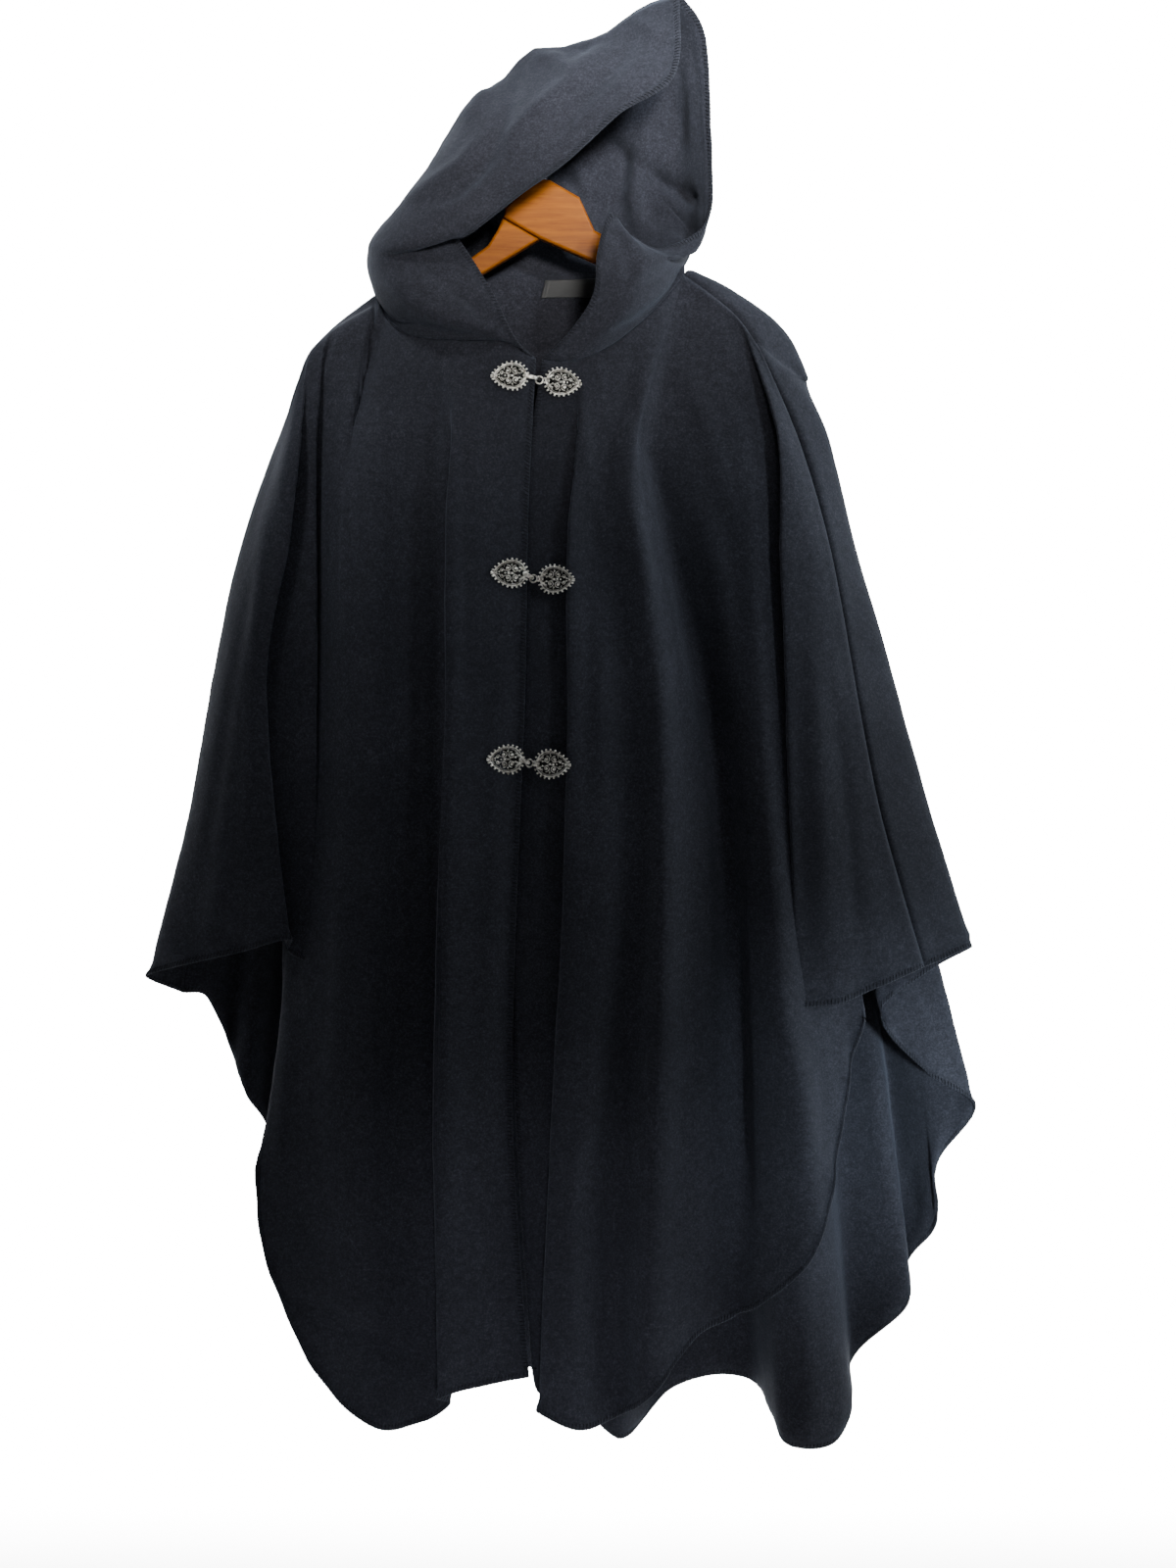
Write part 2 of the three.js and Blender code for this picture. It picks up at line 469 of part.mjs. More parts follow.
// The plane in front of a panel about a point (x, z), clear of every layer within reach.
function seat(net, x, z, reach) {
  const near = [];
  for (let i = 0; i + 1 < net.length; i++)
    for (let j = 0; j + 1 < net[i].length; j++)
      for (let n = 0; n < 48; n++) {
        const a = (n % 4) / 4, b = Math.floor(n / 4) / 12, mix = (p, q, t) => p.clone().lerp(q, t);
        const p = mix(mix(net[i][j], net[i + 1][j], a), mix(net[i][j + 1], net[i + 1][j + 1], a), b);
        if (Math.abs(p.x - x) < reach && Math.abs(p.z - z) < reach && p.y < 0) near.push(p);
      }
  const front = near.filter((p) => !near.some(
    (q) => q.y < p.y - 3 && Math.hypot(q.x - p.x, q.z - p.z) < 8));
  const mean = front.reduce((sum, p) => sum.add(p), new THREE.Vector3()).divideScalar(front.length);
  let xx = 1, zz = 1, xy = 0, zy = 0;
  for (const p of front) {
    const dx = p.x - mean.x, dz = p.z - mean.z, dy = p.y - mean.y;
    xx += dx * dx; zz += dz * dz; xy += dx * dy; zy += dz * dy;
  }
  const gx = Math.max(-0.25, Math.min(0.25, xy / xx)), gz = Math.max(-0.25, Math.min(0.25, zy / zz));
  const clear = Math.min(...near.map((p) => p.y - gx * (p.x - x) - gz * (p.z - z)));
  return { y: clear - WALL / 2 - 0.5, gx, gz };
}

// Clasps from the top: u and v of the hook half's and the eye half's leaf, and their tilt in degrees.
const clasps = [
  { name: "top", hook: [520, 383, 2], eye: [574, 389, -5] },
  { name: "middle", hook: [520, 585, 0], eye: [568, 592, -3] },
  { name: "bottom", hook: [516, 775, 0], eye: [564, 780, -3] },
];
const RING = { radius: 3.3, wire: 0.85 };

function placed(geometry, x, z, place, turn) {
  const out = new THREE.Vector3(place.gx, -1, place.gz).normalize();
  const right = new THREE.Vector3(Math.cos(turn), 0, Math.sin(turn));
  right.addScaledVector(out, -right.dot(out)).normalize();
  const up = out.clone().cross(right);
  const move = new THREE.Matrix4().makeBasis(right, up, out).setPosition(x, place.y, z);
  return geometry.clone().applyMatrix4(move);
}

const group = new THREE.Group();
function add(name, geometry, colour, roughness = 0.9, metalness = 0) {
  const mesh = new THREE.Mesh(
    geometry, new THREE.MeshStandardMaterial({ color: new THREE.Color(...colour), roughness, metalness }));
  mesh.name = name;
  group.add(mesh);
}
const WOOL = [0.012, 0.014, 0.022], SILVER = [0.62, 0.6, 0.56], WOOD = [0.62, 0.4, 0.2];
for (const { name, net, out } of nets) add(name, wall(net, out), WOOL);
add("neck_label", wall(labelNet, 1, LABEL.thick, -(WALL / 2 + 0.45 + LABEL.thick / 2)), [0.08, 0.08, 0.085]);

for (const { name, hook, eye } of clasps) {
  const [eu, ev, eTurn] = eye, [hu, hv, hTurn] = hook;
  const eAt = at([eu, ev, -56]), hAt = at([hu, hv, -60]);
  const eSeat = seat(frontLeft, eAt.x, eAt.z, 19), hSeat = seat(frontRight, hAt.x, hAt.z, 17);
  const ringX = -(LEAF.long / 2 + RING.radius - 0.2);
  const ring = new THREE.TorusGeometry(RING.radius, RING.wire, 6, 16).translate(ringX, 0, RING.wire + 0.1);
  const eyeShape = joined([leaf().rotateZ(Math.PI), ring]);
  const turn = (eTurn * Math.PI) / 180;
  add("eye_" + name, placed(eyeShape, eAt.x, eAt.z, eSeat, turn), SILVER, 0.35, 1);
  // The tongue runs from the hook half's round end over the near side of the ring.
  const target = new THREE.Vector3(ringX, 0, 2 * RING.wire + 0.1 + 0.5 + 0.6);
  const out = new THREE.Vector3(eSeat.gx, -1, eSeat.gz).normalize();
  const right = new THREE.Vector3(Math.cos(turn), 0, Math.sin(turn));
  right.addScaledVector(out, -right.dot(out)).normalize();
  const up = out.clone().cross(right);
  target.applyMatrix4(new THREE.Matrix4().makeBasis(right, up, out).setPosition(eAt.x, eSeat.y, eAt.z));
  const hookLeaf = placed(leaf(), hAt.x, hAt.z, hSeat, (hTurn * Math.PI) / 180);
  const root = new THREE.Vector3(LEAF.long / 2 - 3, 0, 0.7);
  const from = placed(new THREE.BufferGeometry().setAttribute(
    "position", new THREE.Float32BufferAttribute(root.toArray(), 3)), hAt.x, hAt.z, hSeat, (hTurn * Math.PI) / 180);
  const start = new THREE.Vector3().fromBufferAttribute(from.getAttribute("position"), 0);
  const rings = [0, 0.45, 0.72, 1].map((s) => {
    const p = start.clone().lerp(target, s), half = 2.4 - 1.1 * s;
    p.y = s < 0.8 ? Math.min(start.y, target.y) : target.y;
    return [[half, 0.6], [half, -0.6], [-half, -0.6], [-half, 0.6]].map(
      ([dz, dy]) => new THREE.Vector3(p.x, p.y + dy, p.z + dz));
  });
  add("hook_" + name, joined([hookLeaf, skin(rings)]), SILVER, 0.35, 1);
}

// Hanger: two arms that meet at a finger joint, drawn as x and z at the hook's plane.
const rightPiece = [
  [1.2, -130.1], [-32.4, -110.7], [-31, -102], [-14, -87], [2, -75.8], [10, -76.4], [37, -92], [51, -122.5],
  [100, -147], [128, -166], [142, -176], [178, -191.5], [202, -206], [211, -216], [208, -227], [197, -230],
  [150, -202], [100, -176], [51, -152],
];
const leftPiece = [
  [0.2, -130.6], [-53, -163], [-100, -191], [-150, -224], [-181, -247], [-194, -250], [-201, -241],
  [-190, -227.5], [-170, -213], [-148, -201.5], [-100, -171.5], [-64, -149], [-47, -136.5], [-38, -122],
  [-33.2, -111.4],
];
const arm = (outline) =>
  new THREE.ExtrudeGeometry(new THREE.Shape(outline.map((p) => new THREE.Vector2(...p))), {
    depth: ARM.thick - 2 * ARM.edge, bevelThickness: ARM.edge, bevelSize: ARM.edge, bevelOffset: -ARM.edge,
    bevelSegments: 3, steps: 1,
  }).rotateX(Math.PI / 2).translate(0, ARM.thick / 2 - ARM.edge, 0);
add("hanger_arm_left", arm(rightPiece), WOOD, 0.55);
add("hanger_arm_right", arm(leftPiece), WOOD, 0.55);

const round = (degrees) => {
  const a = (degrees * Math.PI) / 180, r = HOOK_R + WIRE;
  return new THREE.Vector3(r * Math.cos(a), 0, -HOOK_R + r * Math.sin(a));
};
const wirePath = [
  new THREE.Vector3(5.2, 0, -75.5), new THREE.Vector3(3.6, 0, -62), new THREE.Vector3(3.4, 0, -52),
  new THREE.Vector3(7, 0, -44), ...[-48, -24, 0, 24, 48, 69, 90, 111, 132, 156, 180, 204, 222].map(round),
];
const wireCurve = new THREE.CatmullRomCurve3(wirePath), WIRE_STEPS = 34;
const wireRings = Array.from({ length: WIRE_STEPS + 1 }, (_, i) => {
  const p = wireCurve.getPoint(i / WIRE_STEPS), t = wireCurve.getTangent(i / WIRE_STEPS);
  const side = new THREE.Vector3(t.z, 0, -t.x);
  return Array.from({ length: 8 }, (_, k) => {
    const a = (2 * Math.PI * k) / 8;
    return p.clone().addScaledVector(side, WIRE * Math.cos(a)).add(new THREE.Vector3(0, WIRE * Math.sin(a), 0));
  });
});
add("hanger_hook", skin(wireRings), [0.7, 0.7, 0.72], 0.3, 1);

export default group;
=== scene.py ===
"""Hooded wool cloak on a wooden hanger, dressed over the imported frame. Metres, +Z up, front -Y.
Each cloth piece is a net of fold lines, as in the part's source, drawn finely, with creases laid on it."""

import math

import bpy
import numpy as np
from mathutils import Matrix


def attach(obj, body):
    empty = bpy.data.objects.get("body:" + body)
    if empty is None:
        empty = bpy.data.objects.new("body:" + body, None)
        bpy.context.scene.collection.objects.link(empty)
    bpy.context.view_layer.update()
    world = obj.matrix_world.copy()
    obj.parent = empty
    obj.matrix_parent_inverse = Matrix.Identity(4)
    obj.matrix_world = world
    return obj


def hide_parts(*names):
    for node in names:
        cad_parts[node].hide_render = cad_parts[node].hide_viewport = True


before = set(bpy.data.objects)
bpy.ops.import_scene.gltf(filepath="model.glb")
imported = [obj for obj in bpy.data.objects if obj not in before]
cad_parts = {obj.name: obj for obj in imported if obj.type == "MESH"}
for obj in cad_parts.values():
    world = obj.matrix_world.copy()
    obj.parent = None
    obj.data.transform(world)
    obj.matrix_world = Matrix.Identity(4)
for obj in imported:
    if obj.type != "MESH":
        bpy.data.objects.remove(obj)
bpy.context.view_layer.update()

# Sizes in mm, as in the part's source
WALL = 2.4
LAP = 0.3  # only here: the sewn walls run into each other, so that no light shows through the seams
UNIT = 0.9
EYE = np.array([45.0, -2200.0, -630.0])
EYE_U, EYE_V = 600.0, 800.0
ARM_HALF = 6.0
NECK_FRONT, NECK_BACK, SHOULDER = 12, 10, 23
LAST_LINES = 3  # steps at a shoulder's end that lead from the ridge to the sleeve seam
FINE = 5  # columns drawn for one step of the net
ROWS = [0.11, 0.16, 0.24, 0.33, 0.42, 0.52, 0.63, 0.75, 0.88, 1]
EASY_ROWS = np.array([0, 0.012, 0.026, 0.042, 0.072] + ROWS)
STATIONS = np.array([0.16, 0.33, 0.52, 0.75, 1])
FINE_ROWS = np.concatenate([np.linspace(0, 0.11, 24), np.linspace(0.11, 1, 92)[1:]])

# Fold lines: name, steps to the next line, u at 0.16, 0.33, 0.52 and 0.75 of the length, u and v at the
# hem, and y at 0.16, 0.33, 0.66 and the hem. Rings, ridges and seams: u, v, y.
# Hood lines: place round the half ring, then u, v, y at nine stations from the neck up.
RING_RIGHT_FRONT = [
    [546, 366, -51], [528, 353, -54], [508, 348, -53], [466, 347, -46], [424, 344, -33], [401, 332, -19],
    [391, 315, -6], [389, 305, 5], [392, 300, 14],
]
RING_RIGHT_BACK = [[392, 300, 14], [412, 292, 26], [470, 285, 40], [556, 281, 47]]
RING_LEFT_BACK = [
    [556, 281, 47], [622, 278, 41], [668, 272, 27], [690, 269, 13], [697, 272, 0], [698, 281, -10],
]
RING_LEFT_FRONT = [
    [698, 281, -10], [676, 307, -22], [648, 333, -32], [620, 354, -39], [592, 366, -43], [572, 369, -44],
    [554, 367, -46],
]
RIDGE_RIGHT = [
    [381, 312, 0], [359, 325, 0], [331, 345, 0], [316, 362, 0], [308, 388, 0], [301, 412, 0], [286, 445, 0],
]
RIDGE_LEFT = [
    [710, 280, 0], [750, 300, 0], [784, 323, 0], [801, 340, 0], [816, 368, 0], [832, 412, 0], [845, 448, 0],
]
SEAM_RIGHT = [[392, 300, 14], [364, 328, 19], [338, 351, 22], [322, 374, 24]]
SEAM_LEFT = [[698, 281, -10], [724, 300, -17], [752, 324, -21], [776, 358, -25]]
SLEEVE_SEAM_RIGHT = ["seam", 2, 289, 255, 231, 208, 186, 1012, 21, 23, 23, 21]
SLEEVE_SEAM_LEFT = ["seam", 2, 818, 848, 870, 898, 943, 986, -25, -27, -28, -25]
FRONT_RIGHT_LINES = [
    ["centre edge", 2, 538, 535, 527, 522, 539, 1404, -56.5, -59, -63, -71],
    ["band", 2, 498, 496, 489, 484, 496, 1412, -62, -65, -72, -78],
    ["band fold", 2, 457, 456, 449, 445, 449, 1426, -67, -71, -79, -87],
    ["band under", 2, 470, 470, 463, 459, 461, 1432, -54, -57, -63, -71],
    ["trough", 2, 430, 430, 424, 420, 433, 1449, -44, -47, -53, -61],
    ["crest", 2, 382, 382, 376, 368, 384, 1456, -51, -58, -67, -78],
    ["slope", 2, 350, 350, 342, 330, 326, 1404, -38, -46, -54, -64],
    ["corner", 2, 338, 336, 328, 309, 277, 1300, -30, -37, -43, -50],
    ["low edge", 2, 330, 326, 318, 301, 263, 1215, -24, -28, -33, -40],
    ["side edge", 2, 320, 312, 302, 296, 284, 1100, -18, -20, -23, -29],
    ["strip under", 2, 308, 298, 288, 288, 297, 1000, -16, -18, -20, -24],
    ["strip edge", 2, 322, 322, 322, 322, 318, 985, -30, -34, -38, -40],
    ["strip back", 2, 296, 282, 262, 268, 294, 970, -31, -33, -36, -36],
    ["flap edge", 2, 305, 293, 272, 277, 293, 958, -43, -46, -49, -49],
    ["flap", 2, 294, 272, 248, 243, 245, 971, -38, -41, -44, -43],
    ["sleeve front", 3, 286, 256, 230, 212, 198, 982, -22, -26, -28, -27],
    ["sleeve ridge", 2, 279, 243, 218, 192, 152, 996, 0, 0, 0, 0],
    SLEEVE_SEAM_RIGHT,
]
BACK_LINES = [
    SLEEVE_SEAM_RIGHT,
    ["sleeve under", 3, 301, 270, 250, 238, 212, 1017, 31, 34, 34, 31],
    ["side crest 1", 3, 312, 286, 268, 256, 234, 1067, 42, 47, 49, 45],
    ["side trough 1", 3, 322, 302, 287, 273, 250, 1113, 35, 38, 40, 37],
    ["side crest 2", 3, 331, 317, 307, 296, 277, 1155, 44, 52, 59, 58],
    ["side trough 2", 3, 340, 331, 324, 315, 302, 1236, 37, 41, 45, 47],
    ["corner crest", 3, 351, 348, 344, 338, 326, 1316, 46, 58, 70, 76],
    ["corner trough", 3, 366, 367, 365, 362, 360, 1366, 39, 45, 50, 54],
    ["crest 1", 3, 392, 395, 396, 397, 400, 1384, 47, 62, 77, 88],
    ["trough 1", 3, 420, 426, 431, 435, 440, 1378, 46, 52, 55, 58],
    ["crest 2", 2, 450, 458, 466, 473, 480, 1386, 54, 68, 80, 91],
    ["trough 2", 2, 482, 492, 503, 513, 520, 1390, 51, 54, 57, 60],
    ["centre back", 2, 516, 528, 540, 551, 560, 1402, 56, 66, 76, 86],
    ["trough 3", 2, 548, 562, 577, 591, 601, 1442, 51, 53, 56, 60],
    ["hem lobe 1", 1, 574, 591, 608, 623, 632, 1468, 52, 54, 54, 52],
    ["lobe side", 1, 592, 612, 632, 648, 656, 1452, 56, 66, 76, 78],
    ["crest 3", 2, 608, 631, 653, 670, 680, 1420, 57, 72, 87, 95],
    ["arch", 1, 628, 657, 685, 707, 722, 1404, 50, 62, 76, 86],
    ["crest 4", 1, 646, 681, 715, 742, 765, 1407, 52, 68, 84, 93],
    ["lobe left", 1, 662, 704, 743, 769, 784, 1440, 42, 48, 56, 60],
    ["lobe left 2", 1, 672, 716, 755, 784, 799, 1470, 38, 38, 38, 36],
    ["hem lobe 2", 1, 684, 731, 774, 804, 826, 1479, 36, 33, 29, 25],
    ["lobe right 2", 1, 695, 744, 790, 826, 853, 1472, 37, 36, 35, 34],
    ["lobe right", 2, 704, 754, 802, 838, 867, 1447, 40, 43, 46, 48],
    ["crest 5", 2, 716, 770, 820, 852, 872, 1384, 46, 58, 70, 76],
    ["corner left", 2, 738, 793, 846, 893, 928, 1330, 40, 47, 56, 60],
    ["valley", 2, 752, 806, 856, 899, 926, 1288, 47, 60, 74, 80],
    ["side fold", 1, 768, 822, 873, 920, 955, 1246, 40, 46, 53, 56],
    ["side low", 2, 778, 833, 884, 930, 955, 1188, 36, 42, 46, 48],
    ["point", 2, 800, 850, 898, 944, 994, 1130, 31, 34, 35, 33],
    ["point inner", 1, 794, 838, 878, 912, 948, 1096, 23, 25, 25, 23],
    ["wrist inner", 1, 792, 830, 862, 878, 897, 1036, 17, 18, 18, 16],
    ["wrist back", 2, 806, 852, 893, 924, 944, 993, 12, 13, 13, 12],
    ["sleeve ridge", 2, 843, 869, 903, 943, 991, 966, 0, 0, 0, 0],
    SLEEVE_SEAM_LEFT,
]
FRONT_LEFT_LINES = [
    SLEEVE_SEAM_LEFT,
    ["sleeve front", 2, 809, 834, 852, 872, 897, 1006, -34, -38, -40, -38],
    ["sleeve face", 2, 801, 817, 830, 843, 856, 1023, -39, -44, -48, -47],
    ["sleeve fold", 2, 794, 797, 802, 807, 813, 1027, -40, -47, -52, -52],
    ["sleeve under", 2, 804, 820, 838, 858, 880, 1030, -27, -30, -32, -30],
    ["side edge", 2, 796, 810, 822, 840, 868, 1086, -25, -29, -33, -34],
    ["side low", 3, 784, 796, 808, 824, 852, 1190, -30, -37, -45, -52],
    ["outer crest", 3, 762, 772, 783, 800, 830, 1282, -37, -47, -60, -73],
    ["hem point", 3, 732, 747, 762, 770, 775, 1332, -36, -41, -48, -56],
    ["main valley", 2, 672, 708, 741, 750, 750, 1341, -33, -33, -36, -41],
    ["valley side", 3, 655, 688, 709, 712, 710, 1364, -43, -47, -54, -61],
    ["crest 1", 2, 643, 670, 677, 670, 660, 1428, -55, -64, -74, -82],
    ["trough", 2, 617, 640, 650, 632, 630, 1444, -53, -57, -60, -63],
    ["crest 2", 2, 597, 611, 612, 588, 588, 1458, -58, -65, -73, -83],
    ["front fold", 1, 581, 580, 575, 562, 550, 1440, -62, -66, -73, -81],
    ["front under", 1, 595, 594, 590, 577, 564, 1434, -54, -57, -60, -67],
    ["band", 1, 560, 557, 551, 545, 549, 1418, -52.5, -55, -57, -62],
    ["centre edge", 1, 530, 527, 520, 527, 543, 1402, -52, -54.5, -57, -62],
]
CROWN = [
    [444, 166, 33], [440, 160, 29], [453, 138, 20], [490, 95, 10], [560, 46, 2], [642, 13, -8],
    [693, -7, -22],
]
BACK_SEAM = [
    [528, 264, 50], [510, 250, 52], [497, 238, 52], [486, 228, 51], [476, 217, 50], [466, 206, 48],
    [459, 196, 45], [453, 186, 42], [448, 176, 38],
]
HOOD_RIGHT_LINES = [
    (0, 0, [[524, 343, -60], [500, 296, -57], [468, 246, -45], [458, 236, -44], [484, 234, -66],
    [534, 197, -70], [576, 167, -69], [632, 117, -64], [689, 76, -54]]),
    (0.22, 0, [[482, 330, -64], [452, 292, -63], [432, 264, -54], [430, 253, -52], [442, 246, -65],
    [494, 204, -69], [540, 160, -66], [596, 104, -56], [642, 58, -38]]),
    (0.36, 0, [[436, 326, -58], [408, 296, -57], [396, 276, -51], [394, 262, -50], [402, 249, -57],
    [444, 206, -58], [482, 162, -54], [522, 116, -43], [548, 80, -22]]),
    (0.5, 0, [[402, 324, -30], [384, 295, -28], [377, 274, -26], [377, 261, -25], [380, 245, -32],
    [398, 218, -34], [420, 186, -30], [447, 148, -20], [470, 116, -5]]),
    (0.62, 0, [[386, 292, 8], [382, 276, 8], [381, 264, 8], [382, 252, 6], [387, 237, 3],
    [400, 216, 3], [416, 194, 6], [432, 170, 10], [444, 152, 15]]),
    (0.8, 0, [[438, 274, 42], [429, 262, 44], [423, 251, 44], [419, 241, 44], [417, 230, 43],
    [418, 217, 41], [422, 203, 38], [429, 188, 35], [435, 174, 32]]),
]
HOOD_LEFT_LINES = [
    (0, 0, [[584, 336, -49], [606, 300, -57], [610, 258, -60], [622, 219, -52], [638, 238, -42],
    [670, 254, -32], [714, 228, -12], [730, 152, 3], [719, 38, -3]]),
    (0.2, 0, [[622, 338, -50], [644, 316, -54], [655, 292, -55], [664, 270, -51], [676, 264, -42],
    [695, 262, -27], [712, 240, -5], [706, 150, 22], [677, 48, 15]]),
    (0.4, 1, [[687, 289, -13], [696, 270, 1], [701, 252, 13], [701, 234, 23], [695, 212, 29],
    [686, 184, 34], [674, 150, 35], [650, 108, 32], [608, 72, 20]]),
    (0.56, 0.75, [[692, 260, 6], [689, 246, 20], [682, 230, 34], [674, 212, 39],
    [662, 194, 43], [644, 174, 45], [618, 150, 45], [580, 124, 40], [534, 106, 26]]),
    (0.72, 0.45, [[655, 258, 38], [645, 243, 45], [632, 227, 49], [618, 211, 52],
    [598, 196, 53], [574, 180, 53], [546, 167, 51], [516, 157, 46], [485, 147, 35]]),
    (0.86, 0.2, [[596, 266, 48], [581, 252, 52], [565, 239, 54], [548, 226, 55],
    [530, 213, 55], [512, 201, 54], [495, 190, 52], [478, 180, 47], [460, 171, 40]]),
]


def at(table):
    """u, v, y rows to points in mm: the place on the line of sight from EYE through (u, v), at depth y."""
    t = np.asarray(table, float)
    s = UNIT * (t[..., 2] - EYE[1]) / -EYE[1]
    return np.stack([EYE[0] + (t[..., 0] - EYE_U) * s, t[..., 2], EYE[2] + (EYE_V - t[..., 1]) * s], -1)


def seen(points):
    """Points in mm to u and v: the reverse of at()."""
    s = UNIT * (points[..., 1] - EYE[1]) / -EYE[1]
    return EYE_U + (points[..., 0] - EYE[0]) / s, EYE_V - (points[..., 2] - EYE[2]) / s


def cubic(points, t, where):
    """Cubic through points at parameters t, read at where. A slope is the chord of the neighbours."""
    points, t, where = np.asarray(points, float), np.asarray(t, float), np.asarray(where, float)
    n, one = len(t), (1,) * (points.ndim - 1)
    a, b = np.maximum(np.arange(n) - 1, 0), np.minimum(np.arange(n) + 1, n - 1)
    slope = (points[b] - points[a]) / (t[b] - t[a]).reshape(-1, *one)
    k = np.clip(np.searchsorted(t, where, side="left") - 1, 0, n - 2)
    h = (t[k + 1] - t[k]).reshape(-1, *one)
    s = ((where - t[k]) / (t[k + 1] - t[k])).reshape(-1, *one)
    a0 = 2 * s**3 - 3 * s**2 + 1
    return (a0 * points[k] + (s**3 - 2 * s**2 + s) * h * slope[k]
            + (1 - a0) * points[k + 1] + (s**3 - s**2) * h * slope[k + 1])


def spread(points, power):
    """Parameters that grow with a power of the distance between points."""
    d = np.maximum(np.linalg.norm(np.diff(points, axis=0), axis=1), 0.5) ** power
    return np.concatenate([[0], np.cumsum(d)])


def along(table, share):
    """The point at a share, from 0 to 1 or past it, of the length of a table's curve."""
    points = at(table)
    t = spread(points, 1)
    return cubic(points, t, np.asarray(share, float) * t[-1])


def fold_lines(lines, starts, shoulder_v):
    """Points of each fold line at the five stations: (5, lines, 3). u from the table, v a share of the
    way from the line's start to its hem, y from a cubic through the four depths."""
    table = np.array([line[2:] for line in lines], float)
    scale = UNIT * (starts[:, 1] - EYE[1]) / -EYE[1]
    top_v = EYE_V - (starts[:, 2] - EYE[2]) / scale
    if shoulder_v:
        top_v = np.minimum(top_v, shoulder_v)
    deep = cubic(table[:, 6:10].T, [0.16, 0.33, 0.66, 1], STATIONS)
    v = top_v + STATIONS[:, None] * (table[:, 5] - top_v)
    return at(np.stack([table[:, :5].T, v, deep], -1))


def unit(vectors):
    return vectors / (np.linalg.norm(vectors, axis=-1, keepdims=True) + 1e-12)


def run_along(net, axis):
    """Length in mm along a net's columns (axis 0) or rows (axis 1), from its first edge."""
    first = net[:1] if axis == 0 else net[:, :1]
    return np.cumsum(np.linalg.norm(np.diff(net, axis=axis, prepend=first), axis=-1), axis=axis)


def panel(lines, tops, over, where, shoulder_v=None, under=False):
    """Net (rows, columns, 3) in mm. tops(i) is the start of column i; over(i) is where it crosses the
    shoulder ridge, or nan where it crosses none. A crossing column runs seam, ridge, 11 and 18 mm out, then
    the stations; another runs straight from its start through the stations."""
    places = np.concatenate([[0], np.cumsum([line[1] for line in lines[:-1]])]).astype(float)
    start, ridge = tops(places), over(places)
    low = fold_lines(lines, np.where(np.isnan(ridge), start, ridge), shoulder_v)
    low = np.stack([cubic(p, spread(p, 0.5), np.interp(where, places, spread(p, 0.5))) for p in low])
    top, ridge = tops(where), over(where)
    crosses = ~np.isnan(ridge[:, :1])
    first = low[0]
    # direct columns
    plain = cubic(np.concatenate([top[None], low]), [0, *STATIONS], EASY_ROWS)
    easy = plain.copy()
    side = np.sign(first[:, 1])
    for k in range(1, 6):
        need = np.minimum(ARM_HALF + 7, side * top[:, 1] + 1.2 * (top[:, 2] - easy[k, :, 2]))
        easy[k, :, 1] = side * np.maximum(side * easy[k, :, 1], need)
    if under:
        lean = 6 * np.minimum(1, where / 1.5) * np.clip((SHOULDER - where) / 6, 0, 1)
        for k, share in enumerate([0, 0.55, 0.9, 1, 0.7, 0.3]):
            easy[k, :, 0] += 0.85 * lean * share
            easy[k, :, 2] -= 0.5 * lean * share
    # crossing columns
    high = np.where(crosses, ridge, top)
    same = np.sign(first[:, 1]) == np.sign(top[:, 1])
    high[:, 1] = np.where(same, first[:, 1], high[:, 1])
    mid = (top + high) / 2
    mid[:, 2] += np.where(same, 0, 6 * np.minimum(1, np.abs(top[:, 1]) / 16))
    steps = []
    for share, limit in ((0.045, 11.5), (0.2, 18.0)):
        p = high + share * (first - high)
        p[:, 1] = high[:, 1] + np.clip(first[:, 1] - high[:, 1], -limit, limit)
        steps.append(p)
    down = cubic(np.concatenate([np.stack(steps), low]), [0.02, 0.06, *STATIONS], ROWS)
    cross = np.concatenate([np.stack([top, mid, high, *steps]), down])
    # the last lines before the sleeve seam cross less and less of the ridge
    left = np.clip((where[-1] - where) / LAST_LINES, 0, 1)[:, None]
    cross = plain + (cross - plain) * left**2 * (3 - 2 * left)
    return np.where(crosses[None], cross, easy)


def sleeve_seam(line, top):
    """The seam's line down a sleeve, one column of a net."""
    low = fold_lines([line], top[None], None)[:, 0]
    return cubic(np.concatenate([top[None], low]), [0, *STATIONS], EASY_ROWS)


def refine(net):
    """The 15 rows of a net drawn as FINE_ROWS, each column a cubic."""
    return cubic(net, EASY_ROWS, FINE_ROWS)


nothing = lambda i: np.full((len(i), 3), np.nan)
top_right = lambda j: along(SEAM_RIGHT, j / SHOULDER)
top_left = lambda j: along(SEAM_LEFT, j / SHOULDER)
over_right = lambda j: along(RIDGE_RIGHT, 0.8 * j / SHOULDER)
over_left = lambda j: along(RIDGE_LEFT, 0.8 * j / SHOULDER)


def choose(i, parts):
    """Points for columns i from parts: (first column, function of i less that column), in order."""
    out = np.zeros((len(i), 3))
    for start, f in parts:
        pick = i >= start - 1e-9
        out[pick] = f(np.maximum(i[pick] - start, 0))
    return out


def columns(n):
    return np.arange(n * FINE + 1) / FINE


seam_down_right = sleeve_seam(SLEEVE_SEAM_RIGHT, top_right(np.array([SHOULDER]))[0])
seam_down_left = sleeve_seam(SLEEVE_SEAM_LEFT, top_left(np.array([SHOULDER]))[0])
HALF = NECK_FRONT + SHOULDER
NAPE = SHOULDER + NECK_BACK
ring_right_front = lambda j: along(RING_RIGHT_FRONT, j / NECK_FRONT)
ring_right_back = lambda j: along(RING_RIGHT_BACK, j / NECK_BACK)
ring_left_back = lambda j: along(RING_LEFT_BACK, j / NECK_BACK)
ring_left_front = lambda j: along(RING_LEFT_FRONT, j / NECK_FRONT)

